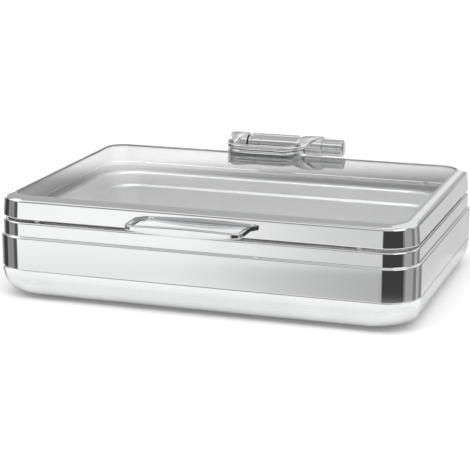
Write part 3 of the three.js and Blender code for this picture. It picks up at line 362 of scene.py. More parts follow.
def turn_profile(bm, profile, centre, axis, side, steps=TURN_STEPS):
    """Turned form from (radius, distance along the axis) points."""
    verts = [bm.verts.new(centre + axis * along + side * radius) for radius, along in profile]
    edges = [bm.edges.new(pair) for pair in zip(verts, verts[1:])]
    bmesh.ops.spin(
        bm, geom=verts + edges, cent=centre, axis=axis, dvec=(0, 0, 0), angle=2 * pi,
        steps=steps, use_merge=True,
    )


def made_verts(made):
    """Vertices among the items that an operator made."""
    return [item for item in made if isinstance(item, bmesh.types.BMVert)]


def sweep_bar(bm, stations, edge_share, steps=3, back_share=None):
    """Bar through placed and scaled sections, each a softened square of half size 1."""
    start = stations[0]
    signs = ((-1, -1), (1, -1), (1, 1), (-1, 1))
    corners = [bm.verts.new(start @ Vector((x, y, 0))) for x, y in signs]
    bm.faces.new(corners)
    bmesh.ops.transform(bm, matrix=start.inverted(), verts=corners)
    known = set(bm.verts) - set(corners)
    for side, share in ((corners[1:3], edge_share), (corners[::3], back_share or edge_share)):
        bmesh.ops.bevel(
            bm, geom=side, offset=share, offset_type="OFFSET", affect="VERTICES",
            segments=steps, profile=0.5, material=-1,
        )
    section = [vert for vert in bm.verts if vert not in known]
    face = section[0].link_faces[0]
    bmesh.ops.transform(bm, matrix=start, verts=section)
    for before, after in zip(stations, stations[1:]):
        made = bmesh.ops.extrude_face_region(bm, geom=[face])["geom"]
        moved = made_verts(made)
        if before is not start:
            bmesh.ops.delete(bm, geom=[face], context="FACES_ONLY")
        face = next(item for item in made if isinstance(item, bmesh.types.BMFace))
        bmesh.ops.transform(bm, matrix=after @ before.inverted(), verts=moved)


def station(place, across, up, half_width, half_height):
    """Placed section: width across, height up, run at right angles to both."""
    along = across.cross(up)
    turn = Matrix((across * half_width, up * half_height, along)).transposed().to_4x4()
    return Matrix.Translation(place) @ turn


def add_piece(bm, name, material, body, nodes, wall=0.0):
    """Finished object from a mesh under construction, riding on its body."""
    bmesh.ops.remove_doubles(bm, verts=bm.verts, dist=WELD)
    bmesh.ops.recalc_face_normals(bm, faces=bm.faces)
    if wall:
        middle = sum((vert.co for vert in bm.verts), Vector()) / len(bm.verts)
        largest = max(bm.faces, key=lambda face: face.calc_area())
        if largest.normal.dot(largest.calc_center_median() - middle) < 0:
            bmesh.ops.reverse_faces(bm, faces=bm.faces)
    for face in bm.faces:
        face.smooth = True
    for edge in bm.edges:
        edge.smooth = edge.calc_face_angle(0) < SHARP_ANGLE
    mesh = bpy.data.meshes.new(name)
    bm.to_mesh(mesh)
    bm.free()
    mesh.materials.append(material)
    piece = bpy.data.objects.new(name, mesh)
    bpy.context.scene.collection.objects.link(piece)
    if wall:
        sheet = piece.modifiers.new("sheet thickness", "SOLIDIFY")
        sheet.thickness = wall
        sheet.offset = -1
        sheet.use_even_offset = True
    shading = piece.modifiers.new("flat faces stay flat", "WEIGHTED_NORMAL")
    shading.keep_sharp = True
    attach(piece, body)
    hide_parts(*nodes)
    return piece


def water_pan_section():
    """Outer line of the pan, from the edge of the floor to the end of the rolled rim."""
    half_crease = 0.5 * CREASE_HEIGHT
    top = CREASE_Z - half_crease
    bowl = bezier(
        (-BOWL_WIDTH, FLOOR_Z), (BOWL_FOOT_PULL - BOWL_WIDTH, FLOOR_Z),
        (-BOWL_LEAN, top - BOWL_WALL_PULL), (0, top), 4 * BEND_STEPS,
    )
    crease = [(-a * CREASE_DEPTH, CREASE_Z + b * half_crease) for a, b in CREASE_SHARES]
    half_width = 0.5 * SHOULDER_WIDTH
    half_height = 0.5 * SHOULDER_HEIGHT
    convex = arc(-half_width, SHOULDER_Z, half_width, half_height, 0, 90)
    concave = arc(-half_width, UPPER_BAND_Z, half_width, half_height, 270, 180)[1:]
    bead_z = RIM_TOP_Z - RIM_RADIUS
    bead = arc(WALL_OUT - RIM_RADIUS, bead_z, RIM_RADIUS, RIM_RADIUS, 0, 180, 2 * BEND_STEPS)
    end = (WALL_OUT - 2 * RIM_RADIUS, bead_z - RIM_RETURN)
    return [*bowl, *crease, *convex, *concave, *bead, end]


def bowl_growth(out, z):
    """The corners of the bowl turn rounder towards the floor."""
    below = z < CREASE_Z - CREASE_HEIGHT
    return BOWL_CORNER_GROWTH * min(max(-out / BOWL_WIDTH, 0), 1) if below else 0


def make_water_pan():
    bm = bmesh.new()
    section = water_pan_section()
    rings = bridge_rings(bm, section, HALF_LENGTH, HALF_DEPTH, BODY_CORNER, bowl_growth)
    fill_ring(bm, rings[0])
    add_piece(bm, "pan_body", mirror_steel, "base", ["water_pan"], BODY_SHEET)


def soft_plate(node, corner, edge):
    """Flat plate with softened edges that fills the box of its node."""
    low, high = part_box(node)
    section = [
        (-edge, low[2]),
        *arc(-edge, low[2] + edge, edge, edge, -60, 0, 3),
        *arc(-edge, high[2] - edge, edge, edge, 0, 90, 3),
    ]
    bm = bmesh.new()
    rings = bridge_rings(bm, section, high[0], high[1], corner)
    fill_ring(bm, rings[0])
    fill_ring(bm, rings[-1])
    return bm


def make_base_plate():
    bm = soft_plate("induction_plate", PLATE_CORNER, PLATE_EDGE)
    add_piece(bm, "base_plate", satin_steel, "base", ["induction_plate"])


def make_deck():
    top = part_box("deck_ring")[1][2]
    inset = FOOD_FLANGE - FOOD_CLEARANCE
    half_length = food_high[0] - inset
    half_depth = food_high[1] - inset
    edge_out = WALL_OUT - BODY_SHEET - CONTACT_GAP
    bm = bmesh.new()
    section = [(0, top - DECK_LIP), *arc(DECK_BEND, top - DECK_BEND, DECK_BEND, DECK_BEND, 180, 90)]
    outlines = outlines_of(section, half_length, half_depth, FOOD_CORNER - inset)
    wall = (HALF_LENGTH + edge_out, HALF_DEPTH + edge_out, BODY_CORNER + edge_out, top)
    bridge_outlines(bm, [*outlines, wall])
    add_piece(bm, "deck", ledge_steel_painted_shade, "base", ["deck_ring"], DECK_SHEET)


def make_food_pan():
    floor = food_low[2]
    rim = food_high[2]
    wall_top = -FOOD_FLANGE
    lower_wall = wall_top - STACKING_WIDTH
    foot = lower_wall - FOOD_TAPER
    radius = FOOD_FLOOR_RADIUS
    step_z = rim - STACKING_DROP
    flange_z = rim - FOOD_SHEET
    half_step = 0.5 * STACKING_HEIGHT
    section = [
        *arc(foot - radius, floor + radius, radius, radius, -90, 0, 2 * BEND_STEPS),
        *bezier(
            (lower_wall, step_z - STACKING_HEIGHT), (lower_wall, step_z - half_step),
            (wall_top, step_z - half_step), (wall_top, step_z + half_step), 2 * BEND_STEPS,
        ),
        *arc(wall_top + FOOD_BEND, flange_z - FOOD_BEND, FOOD_BEND, FOOD_BEND, 180, 90),
        *arc(-FOOD_HEM, flange_z - FOOD_HEM + FOOD_SHEET, FOOD_HEM - FOOD_SHEET,
             FOOD_HEM - FOOD_SHEET, 90, 0),
    ]
    bm = bmesh.new()
    rings = bridge_rings(bm, section, food_high[0], food_high[1], FOOD_CORNER)
    fill_ring(bm, rings[0])
    add_piece(bm, "food_insert", satin_steel, "base", ["food_pan"], FOOD_SHEET)


def crown_curve():
    """The lid's section from the top of its outer face over to the glass."""
    foot_side, foot_rise = CROWN_FOOT_PULL
    lip_side, lip_fall = CROWN_LIP_PULL
    return bezier(
        (CROWN_FOOT_OUT, CROWN_FOOT_Z),
        (CROWN_FOOT_OUT - foot_side * CROWN_WIDTH, CROWN_FOOT_Z + foot_rise * CROWN_HEIGHT),
        (LIP_OUT + lip_side * CROWN_WIDTH, LID_TOP_Z - lip_fall * CROWN_HEIGHT),
        (LIP_OUT, LID_TOP_Z),
        3 * BEND_STEPS,
    )


def make_lid_frame():
    hem = arc(WALL_OUT - HEM_RADIUS, HEM_Z + HEM_RADIUS, HEM_RADIUS, HEM_RADIUS, -90, 0)
    section = [(HEM_INNER_OUT, HEM_Z), *hem, *crown_curve(), (LIP_OUT, LID_TOP_Z - LIP_DROP)]
    bm = bmesh.new()
    bridge_rings(bm, section, HALF_LENGTH, HALF_DEPTH, BODY_CORNER)
    add_piece(bm, "lid_rim", mirror_steel, "lid", ["lid_frame"], LID_SHEET)


def make_inner_frame():
    low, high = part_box("lid_inner_frame")
    top = high[2]
    wall_out = HEM_INNER_OUT - CONTACT_GAP
    wall_top_out = wall_out - INNER_LEAN
    section = [
        (wall_out - DRIP_WIDTH, low[2]),
        (wall_out - INNER_SHEET, low[2]),
        (wall_out, low[2] + INNER_SHEET),
        *arc(wall_top_out - INNER_BEND, top - INNER_BEND, INNER_BEND, INNER_BEND, 0, 90),
        (SEAL_OUT - SEAL_BOTTOM_REACH, top),
    ]
    bm = bmesh.new()
    bridge_rings(bm, section, HALF_LENGTH, HALF_DEPTH, BODY_CORNER)
    add_piece(
        bm, "lid_inner_ring", ledge_steel_painted_shade, "lid", ["lid_inner_frame"], INNER_SHEET,
    )


def make_seal():
    low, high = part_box("glass_seal")
    web = SEAL_OUT - SEAL_WEB
    foot = SEAL_OUT - SEAL_BOTTOM_REACH + CONTACT_GAP
    half_lip = 0.5 * SEAL_LIP
    section = [
        (foot, low[2]),
        (SEAL_OUT, low[2]),
        *arc(SEAL_OUT - half_lip, high[2] - half_lip, half_lip, half_lip, 0, 90, 3),
        (web - SEAL_TOP_REACH, high[2]),
        (web - SEAL_TOP_REACH, high[2] - SEAL_LIP),
        (web, high[2] - SEAL_LIP),
        (web, low[2] + SEAL_LIP),
        (foot, low[2] + SEAL_LIP),
    ]
    bm = bmesh.new()
    bridge_rings(bm, section, HALF_LENGTH, HALF_DEPTH, BODY_CORNER, closed=True)
    add_piece(bm, "glass_gasket", seal_grey_painted_sheen, "lid", ["glass_seal"])


def make_glass():
    corner = BODY_CORNER - (HALF_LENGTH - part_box("glass_panel")[1][0])
    bm = soft_plate("glass_panel", corner, GLASS_EDGE)
    glass = add_piece(bm, "lid_glass", clear_glass, "lid", ["glass_panel"])
    glass.visible_shadow = False


def make_bumpers():
    for number in range(1, 5):
        node = f"lid_bumper_{number}"
        low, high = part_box(node)
        centre = Vector((0.5 * (low[0] + high[0]), 0.5 * (low[1] + high[1]), 0))
        radius = 0.5 * (high[0] - low[0])
        pad_top = HEM_Z - CONTACT_GAP
        hem_top = HEM_Z + LID_SHEET + CONTACT_GAP
        edge = BUMPER_EDGE_SHARE * radius
        profile = [
            (0, low[2]),
            (radius - edge, low[2]),
            (radius, low[2] + edge),
            (radius, pad_top),
            (BUMPER_STEM, pad_top),
            (BUMPER_STEM, hem_top),
            (BUMPER_STEM + BUMPER_HEAD - CONTACT_GAP, hem_top),
            (BUMPER_STEM, hem_top + BUMPER_HEAD),
            (0, hem_top + BUMPER_HEAD),
        ]
        bm = bmesh.new()
        turn_profile(bm, profile, centre, Z_AXIS, X_AXIS, SMALL_TURN_STEPS)
        add_piece(bm, f"bumper_{number}", pale_silicone, "lid", [node])


def make_handle():
    """Bow handle: two round posts that bend into a grip that swells to its middle."""
    grip_y = handle_low[1] + POST_RADIUS
    swell_height = 0.5 * GRIP_HEIGHT - POST_RADIUS
    middle_z = handle_high[2] - POST_RADIUS - 2 * GRIP_UPPER_SHARE * swell_height
    middle_x = 0.5 * (handle_low[0] + handle_high[0])
    root_y = handle_high[1]
    half_span = 0.5 * HANDLE_SPAN
    centre_x = half_span - HANDLE_BEND
    stations = []

    def add_station(x, y, along):
        across = along.cross(Z_AXIS)
        swell = cos(0.5 * pi * min(abs(x) / centre_x, 1))
        half_height = POST_RADIUS + swell_height * swell
        half_width = POST_RADIUS + (0.5 * GRIP_THICKNESS - POST_RADIUS) * swell
        z = middle_z + (2 * GRIP_UPPER_SHARE - 1) * swell_height * swell
        place = Vector((middle_x + x, y, z))
        stations.append(station(place, across, Z_AXIS, half_width, half_height))

    add_station(-half_span, root_y, -Y_AXIS)
    for step in range(2 * BEND_STEPS + 1):
        angle = 0.5 * pi * step / (2 * BEND_STEPS)
        x = -centre_x - HANDLE_BEND * cos(angle)
        y = grip_y + HANDLE_BEND - HANDLE_BEND * sin(angle)
        add_station(x, y, Vector((sin(angle), -cos(angle), 0)))
    for step in range(1, GRIP_STEPS):
        add_station(-centre_x + 2 * centre_x * step / GRIP_STEPS, grip_y, X_AXIS)
    for step in range(2 * BEND_STEPS + 1):
        angle = 0.5 * pi * step / (2 * BEND_STEPS)
        x = centre_x + HANDLE_BEND * sin(angle)
        y = grip_y + HANDLE_BEND - HANDLE_BEND * cos(angle)
        add_station(x, y, Vector((cos(angle), sin(angle), 0)))
    add_station(half_span, root_y, Y_AXIS)
    bm = bmesh.new()
    sweep_bar(bm, stations, GRIP_FRONT_ROUNDING, BEND_STEPS, GRIP_BACK_ROUNDING)
    add_piece(bm, "bow_handle", mirror_steel, "lid", ["lid_handle"])


def round_ends(radius, start, end, edge):
    """Turned outline points of a length whose two ends are rounded."""
    return [
        *arc(radius - edge, start + edge, edge, -edge, 90, 0, 3),
        *arc(radius - edge, end - edge, edge, edge, 0, 90, 3),
    ]


def groove(start, width, depth):
    """Turned outline points of one ring groove, from a place along the axis."""
    low = BARREL_RADIUS - depth
    return [
        (BARREL_RADIUS, start),
        (low, start + 0.2 * width),
        (low, start + 0.8 * width),
        (BARREL_RADIUS, start + width),
    ]


def axis_centre():
    return Vector((0, hinge_axis.y, hinge_axis.z))


def make_barrel():
    """Fixed half of the hinge: grooved barrel, rail, two cheeks, a web and a screwed plate."""
    left = barrel_left
    right = barrel_left + BARREL_LENGTH
    edge = BRACKET_CUT
    bm = bmesh.new()
    rings = []
    for start, width in BARREL_GROOVES:
        rings += groove(left + start, width, BARREL_GROOVE_DEPTH)
    profile = [
        (BARREL_BORE, left),
        (BARREL_RADIUS - edge, left),
        *arc(BARREL_RADIUS - edge, left + edge, edge, -edge, 90, 0, 4)[1:],
        *rings,
        *arc(BARREL_RADIUS - edge, right - edge, edge, edge, 0, 90, 4),
        (BARREL_BORE, right),
        (BARREL_BORE, left),
    ]
    turn_profile(bm, profile, axis_centre(), X_AXIS, Z_AXIS)
    rail_edge = 0.5 * CAP_EDGE
    rail_end = left + RAIL_LENGTH
    rail = [(0, left), *round_ends(RAIL_RADIUS, left, rail_end, rail_edge), (0, rail_end)]
    rail_centre = axis_centre() + Vector((0, RAIL_BACK, RAIL_RISE))
    turn_profile(bm, rail, rail_centre, X_AXIS, Z_AXIS)
    bmesh.ops.remove_doubles(bm, verts=bm.verts, dist=WELD)
    add_bracket_plate(bm)
    middle = left + 0.5 * BARREL_LENGTH
    half_web = 0.5 * BRACKET_WEB_WIDTH
    inset = 0.5 * BRACKET_CHEEK
    front = HALF_DEPTH + CONTACT_GAP
    foot = BRACKET_FOOT_Z
    belly = SHOULDER_Z + CHEEK_BELLY_SHARE * (hinge_axis.z - SHOULDER_Z)
    inner = hinge_axis.z - 1.02 * BARREL_BORE
    first, pull, push = (
        (hinge_axis.y + back * BARREL_RADIUS, level + rise * BARREL_RADIUS)
        for level, (back, rise) in zip((hinge_axis.z, belly, belly), CHEEK_SHARES)
    )
    curve = bezier(first, pull, push, (front + BRACKET_PLATE, foot), 2 * BEND_STEPS)
    cheek = [(front, foot), (front, inner), (hinge_axis.y, inner), *curve]
    web = [
        (front, foot), (front, inner), (front + 2 * BRACKET_WEB, inner),
        (front + BRACKET_WEB, foot),
    ]
    for outline, start, end in (
        (web, middle - half_web + inset, middle + half_web - inset),
        (cheek, middle - half_web, middle - half_web + BRACKET_CHEEK),
        (cheek, middle + half_web - BRACKET_CHEEK, middle + half_web),
    ):
        extrude_outline(bm, outline, start, end)
    add_piece(bm, "hinge_barrel", mirror_steel, "base", ["hinge_body"])


def extrude_outline(bm, outline, start, end):
    """Slab along X from a (y, z) outline."""
    face = bm.faces.new([bm.verts.new((start, y, z)) for y, z in outline])
    made = bmesh.ops.extrude_face_region(bm, geom=[face])["geom"]
    bmesh.ops.translate(bm, vec=(end - start, 0, 0), verts=made_verts(made))


def add_bracket_plate(bm):
    """Rounded plate of the bracket, upright on the back wall."""
    known = set(bm.verts)
    low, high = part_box("hinge_body")
    half_length = 0.5 * (high[0] - low[0])
    centre_x = 0.5 * (high[0] + low[0])
    half_height = 0.5 * BRACKET_HEIGHT
    face, edges = rounded_outline(bm, half_length, half_height, BRACKET_CORNER, 0)
    made = bmesh.ops.extrude_face_region(bm, geom=[face])["geom"]
    bmesh.ops.translate(bm, vec=(0, 0, BRACKET_PLATE), verts=made_verts(made))
    fresh = [vert for vert in bm.verts if vert not in known]
    upright = Matrix.Rotation(radians(-90), 4, "X")
    place = Matrix.Translation((centre_x, HALF_DEPTH + CONTACT_GAP, low[2] + half_height))
    bmesh.ops.transform(bm, matrix=place @ upright, verts=fresh)
    rims = [
        edge for edge in bm.edges
        if edge.verts[0] not in known and edge.is_manifold
        and edge.calc_face_angle(0) > SHARP_ANGLE
    ]
    bmesh.ops.bevel(
        bm, geom=rims, offset=0.5 * CAP_EDGE, offset_type="OFFSET", affect="EDGES",
        segments=2, profile=0.5, material=-1, clamp_overlap=True,
    )


def loop_stations(low_z, high_z):
    """Stations of the D-shaped bar in plan: left end, front corners, right end."""
    half_width = 0.5 * LOOP_BAR
    half_height = 0.5 * (high_z - low_z)
    middle_z = 0.5 * (high_z + low_z)
    run = LOOP_CORNER - 0.5 * LOOP_BAR
    centre_y = loop_front + LOOP_CORNER
    stations = []
    for side in (-1, 1):
        centre_x = loop_left + LOOP_CORNER if side < 0 else loop_right - LOOP_CORNER
        for step in range(2 * BEND_STEPS + 1):
            share = step / (2 * BEND_STEPS)
            turn = 0.5 * pi * (share if side < 0 else 1 - share)
            place = Vector((centre_x + side * run * cos(turn), centre_y - run * sin(turn), middle_z))
            along = Vector((sin(turn), side * cos(turn), 0))
            stations.append(station(place, along.cross(Z_AXIS), Z_AXIS, half_width, half_height))
    return stations


def share_at(shares, place):
    """Height of a smooth curve through evenly spaced shares."""
    last = len(shares) - 1
    index = min(int(place), last - 1)
    run = place - index
    before = shares[max(index - 1, 0)]
    start = shares[index]
    end = shares[index + 1]
    after = shares[min(index + 2, last)]
    bend = 2 * before - 5 * start + 4 * end - after
    twist = 3 * (start - end) + after - before
    return start + 0.5 * run * (end - before + run * (bend + run * twist))


def arm_stations(bar_x, knuckle_x, spread_shares):
    """Stations of an arm from a side bar up and over its knuckle."""
    crest_half = 0.5 * ARM_THICKNESS
    bar_half = 0.5 * (LOOP_THICKNESS - CONTACT_GAP)
    start_y = loop_rear - ARM_ROOT_SHARE * LOOP_BAR
    run_y = hinge_axis.y - start_y
    start_z = loop_bottom + 0.5 * LOOP_THICKNESS
    crest_z = hinge_axis.z + BARREL_RADIUS + ARM_CLEARANCE + crest_half
    steps = BEND_STEPS * (len(ARM_Y_SHARES) - 1)
    rail = []
    for step in range(steps + 1):
        along = step / BEND_STEPS
        share = share_at(ARM_Y_SHARES, along)
        side = min(share_at(ARM_SIDE_SHARES, along), 1)
        spread = min(share_at(spread_shares, along), 1)
        rise = min(share_at(ARM_Z_SHARES, along), 1)
        rail.append((
            Vector((
                bar_x + (knuckle_x - bar_x) * side,
                start_y + run_y * share,
                start_z + (crest_z - start_z) * rise,
            )),
            0.5 * (LOOP_BAR + (KNUCKLE_LENGTH - LOOP_BAR) * spread),
            bar_half + (crest_half - bar_half) * min(share, 1),
        ))
    stations = []
    for number, (place, half_width, half_height) in enumerate(rail):
        before = rail[max(number - 1, 0)][0]
        after = rail[min(number + 1, steps)][0]
        along = Vector((0, after.y - before.y, after.z - before.z)).normalized()
        stations.append(station(place, X_AXIS, X_AXIS.cross(along) * -1, half_width, half_height))
    return stations


def make_arm_loop():
    """D loop, its two arms and the knuckles that they end in, as one polished casting."""
    left_middle = knuckle_left + 0.5 * KNUCKLE_LENGTH
    right_middle = knuckle_right + 0.5 * KNUCKLE_LENGTH
    low_z = loop_bottom
    bm = bmesh.new()
    sweep_bar(bm, loop_stations(low_z, low_z + LOOP_THICKNESS), LOOP_ROUNDING, BEND_STEPS)
    for stations in (
        arm_stations(loop_left + 0.5 * LOOP_BAR, left_middle, ARM_SIDE_SHARES),
        arm_stations(loop_right - 0.5 * LOOP_BAR, right_middle, ARM_SPREAD_SHARES),
    ):
        sweep_bar(bm, stations, ARM_ROUNDING, BEND_STEPS)
    for start in (knuckle_left, knuckle_right):
        end = start + KNUCKLE_LENGTH
        profile = [
            (BUSH_RADIUS + CONTACT_GAP, start),
            *round_ends(KNUCKLE_RADIUS, start, end, 0.5 * CAP_EDGE),
            (BUSH_RADIUS + CONTACT_GAP, end),
            (BUSH_RADIUS + CONTACT_GAP, start),
        ]
        turn_profile(bm, profile, axis_centre(), X_AXIS, Z_AXIS)
    add_piece(bm, "loop_and_arms", hinge_steel_painted_highlight, "lid", ["hinge_arm_loop"])


def make_loop_pad():
    """Lower ring under the loop; its rear bar is shaped to the crown of the lid."""
    pad_low = LID_TOP_Z + CONTACT_GAP
    pad_top = pad_low + PAD_THICKNESS
    bm = bmesh.new()
    sweep_bar(bm, loop_stations(pad_low, pad_top), PAD_ROUNDING, BEND_STEPS)
    seat = [
        (HALF_DEPTH + out, z + CONTACT_GAP) for out, z in reversed(crown_curve())
        if z > LID_TOP_Z - PAD_SKIRT and out < loop_rear - HALF_DEPTH
    ]
    rear = loop_rear
    front = rear - PAD_REAR_BAR
    outline = [(front, pad_top), (front, pad_low), *[p for p in seat if p[0] > front], (rear, pad_top)]
    extrude_outline(bm, outline, loop_left + LOOP_EDGE, loop_right - LOOP_EDGE)
    add_piece(bm, "loop_seat", mirror_steel, "lid", ["loop_pad"])


def make_damper():
    low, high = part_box("damper_housing")
    start = low[0]
    end = high[0]
    edge = 0.5 * CAP_EDGE
    profile = [
        (SHAFT_RADIUS + CONTACT_GAP, start),
        *arc(BARREL_RADIUS - edge, start + edge, edge, -edge, 90, 0, 3),
        *groove(start + DAMPER_GROOVE, DAMPER_GROOVE_WIDTH, DAMPER_GROOVE_DEPTH),
        (BARREL_RADIUS, end),
        (BARREL_RADIUS - DAMPER_WALL, end),
        (BARREL_RADIUS - DAMPER_WALL, start + DAMPER_WALL),
        (SHAFT_RADIUS + CONTACT_GAP, start + DAMPER_WALL),
        (SHAFT_RADIUS + CONTACT_GAP, start),
    ]
    bm = bmesh.new()
    turn_profile(bm, profile, axis_centre(), X_AXIS, Z_AXIS)
    add_piece(bm, "damper_cup", mirror_steel, "lid", ["damper_housing"])


def make_cap(name, node, side, spigot_radius):
    low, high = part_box(node)
    outer = high[0] if side > 0 else low[0]
    tip = low[0] if side > 0 else high[0]
    seat = tip + side * (SPIGOT - CONTACT_GAP)
    dome = 0.25 * CAP_EDGE
    profile = [
        (0, tip),
        (spigot_radius, tip),
        (spigot_radius, seat),
        (BARREL_RADIUS, seat),
        *arc(BARREL_RADIUS - CAP_EDGE, outer - side * CAP_EDGE, CAP_EDGE,
             side * (CAP_EDGE - dome), 0, 90, BEND_STEPS),
        (0.5 * BARREL_RADIUS, outer - 0.3 * side * dome),
        (0, outer),
    ]
    bm = bmesh.new()
    turn_profile(bm, profile, axis_centre(), X_AXIS, Z_AXIS)
    add_piece(bm, name, mirror_steel, "lid", [node])


def make_bushes():
    for side, node in ((1, "knuckle_bush_left"), (-1, "knuckle_bush_right")):
        low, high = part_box(node)
        face = high[0] if side > 0 else low[0]
        tip = low[0] if side > 0 else high[0]
        bore = SHAFT_RADIUS + CONTACT_GAP
        edge = EDGE_SHARE * FLANGE_THICKNESS
        flange = face - side * FLANGE_THICKNESS
        profile = [
            (bore, tip), (BUSH_RADIUS, tip), (BUSH_RADIUS, flange),
            (BUSH_FLANGE - edge, flange), (BUSH_FLANGE, flange + side * edge),
            (BUSH_FLANGE, face - side * edge), (BUSH_FLANGE - edge, face),
            (bore, face), (bore, tip),
        ]
        bm = bmesh.new()
        turn_profile(bm, profile, axis_centre(), X_AXIS, Z_AXIS)
        add_piece(bm, f"{node}_sleeve", dark_polymer, "lid", [node])


def make_screw(node, body, direction):
    """Domed screw with a hexagon socket; direction points from the head along the shaft."""
    low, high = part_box(node)
    centre = 0.5 * (Vector(low) + Vector(high))
    length = abs((Vector(high) - Vector(low)).dot(direction))
    head = centre - 0.5 * length * direction
    side = X_AXIS if abs(direction.x) < 0.5 else Y_AXIS
    dome = SCREW_DOME_SHARE * SCREW_HEAD_HEIGHT
    profile = [
        (SCREW_FACE_RADIUS, 0),
        *arc(SCREW_HEAD_RADIUS - dome, dome, dome, -dome, 90, 0, 4),
        (SCREW_HEAD_RADIUS, SCREW_HEAD_HEIGHT),
        (SCREW_SHAFT_RADIUS, SCREW_HEAD_HEIGHT),
        (SCREW_SHAFT_RADIUS, length - CONTACT_GAP),
        (SCREW_SHAFT_RADIUS - CONTACT_GAP, length),
        (0, length),
    ]
    bm = bmesh.new()
    turn_profile(bm, profile, head, direction, side, SMALL_TURN_STEPS)
    bmesh.ops.remove_doubles(bm, verts=bm.verts, dist=WELD)
    rim = [edge for edge in bm.edges if edge.is_boundary]
    turn = direction.to_track_quat("Z", "Y").to_matrix().to_4x4()
    made = bmesh.ops.create_circle(
        bm, segments=6, radius=SCREW_SOCKET_RADIUS, matrix=Matrix.Translation(head) @ turn,
    )
    hexagon = list({edge for vert in made["verts"] for edge in vert.link_edges})
    bmesh.ops.bridge_loops(bm, edges=rim + hexagon)
    sunk = bmesh.ops.extrude_edge_only(bm, edges=hexagon)["geom"]
    bmesh.ops.translate(bm, vec=direction * SCREW_SOCKET_DEPTH, verts=made_verts(sunk))
    fill_ring(bm, [item for item in sunk if isinstance(item, bmesh.types.BMEdge)])
    add_piece(bm, f"{node}_fine", plated_steel, body, [node])


def make_washer(node):
    low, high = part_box(node)
    centre = Vector((0.5 * (low[0] + high[0]), 0, 0.5 * (low[2] + high[2])))
    radius = 0.5 * (high[0] - low[0])
    bore = SCREW_SHAFT_RADIUS + CONTACT_GAP
    edge = EDGE_SHARE * (high[1] - low[1])
    profile = [
        (bore, low[1]), (radius - edge, low[1]), (radius, low[1] + edge),
        (radius, high[1] - edge), (radius - edge, high[1]), (bore, high[1]), (bore, low[1]),
    ]
    bm = bmesh.new()
    turn_profile(bm, profile, centre, Y_AXIS, X_AXIS, SMALL_TURN_STEPS)
    add_piece(bm, f"{node}_fine", plated_steel, "lid", [node])


def new_group(name, inputs, outputs):
    """Empty node group with named sockets, given as name, kind and value."""
    group = bpy.data.node_groups.new(name, "ShaderNodeTree")
    for label, kind, value in inputs:
        socket = group.interface.new_socket(name=label, in_out="INPUT", socket_type=kind)
        socket.default_value = value
    for label, kind in outputs:
        group.interface.new_socket(name=label, in_out="OUTPUT", socket_type=kind)
    start = group.nodes.new("NodeGroupInput")
    end = group.nodes.new("NodeGroupOutput")
    return group, start, end


def add_node(tree, kind, **settings):
    """Node of a kind with its properties set."""
    node = tree.nodes.new(kind)
    for key, value in settings.items():
        setattr(node, key, value)
    return node


def maths(tree, operation, *values):
    """Result of a math node that is fed by numbers or sockets."""
    node = add_node(tree, "ShaderNodeMath", operation=operation)
    for socket, value in zip(node.inputs, values):
        if isinstance(value, (int, float)):
            socket.default_value = value
        else:
            tree.links.new(value, socket)
    return node.outputs["Value"]


def smooth_rise(tree, value, start, end, low=0.0, high=1.0):
    """Smooth change from one level to another between two places of a value."""
    node = add_node(tree, "ShaderNodeMapRange", interpolation_type="SMOOTHSTEP")
    tree.links.new(value, node.inputs["Value"])
    for label, number in (("From Min", start), ("From Max", end), ("To Min", low), ("To Max", high)):
        node.inputs[label].default_value = number
    return node.outputs["Result"]


def new_material(name):
    """Material with its tree and its Principled shader."""
    material = bpy.data.materials.new(name)
    material.use_nodes = True
    tree = material.node_tree
    return material, tree, tree.nodes["Principled BSDF"]


def build_relief(name, size_name, size, depth, detail, roughness=0.5, stretch=(1, 1, 1)):
    """Fine noise turned into a normal: waves of pressed sheet, satin lines or moulded texture."""
    group, start, end = new_group(
        name,
        [(size_name, "NodeSocketFloat", size), ("Depth", "NodeSocketFloat", depth)],
        [("Normal", "NodeSocketVector")],
    )
    place = add_node(group, "ShaderNodeTexCoord")
    spread = add_node(group, "ShaderNodeMapping")
    spread.inputs["Scale"].default_value = stretch
    noise = add_node(group, "ShaderNodeTexNoise")
    noise.inputs["Detail"].default_value = detail
    noise.inputs["Roughness"].default_value = roughness
    bump = add_node(group, "ShaderNodeBump")
    bump.inputs["Strength"].default_value = 1.0
    group.links.new(place.outputs["Object"], spread.inputs["Vector"])
    group.links.new(spread.outputs["Vector"], noise.inputs["Vector"])
    group.links.new(start.outputs[size_name], noise.inputs["Scale"])
    group.links.new(start.outputs["Depth"], bump.inputs["Distance"])
    group.links.new(noise.outputs["Fac"], bump.inputs["Height"])
    group.links.new(bump.outputs["Normal"], end.inputs["Normal"])
    return group


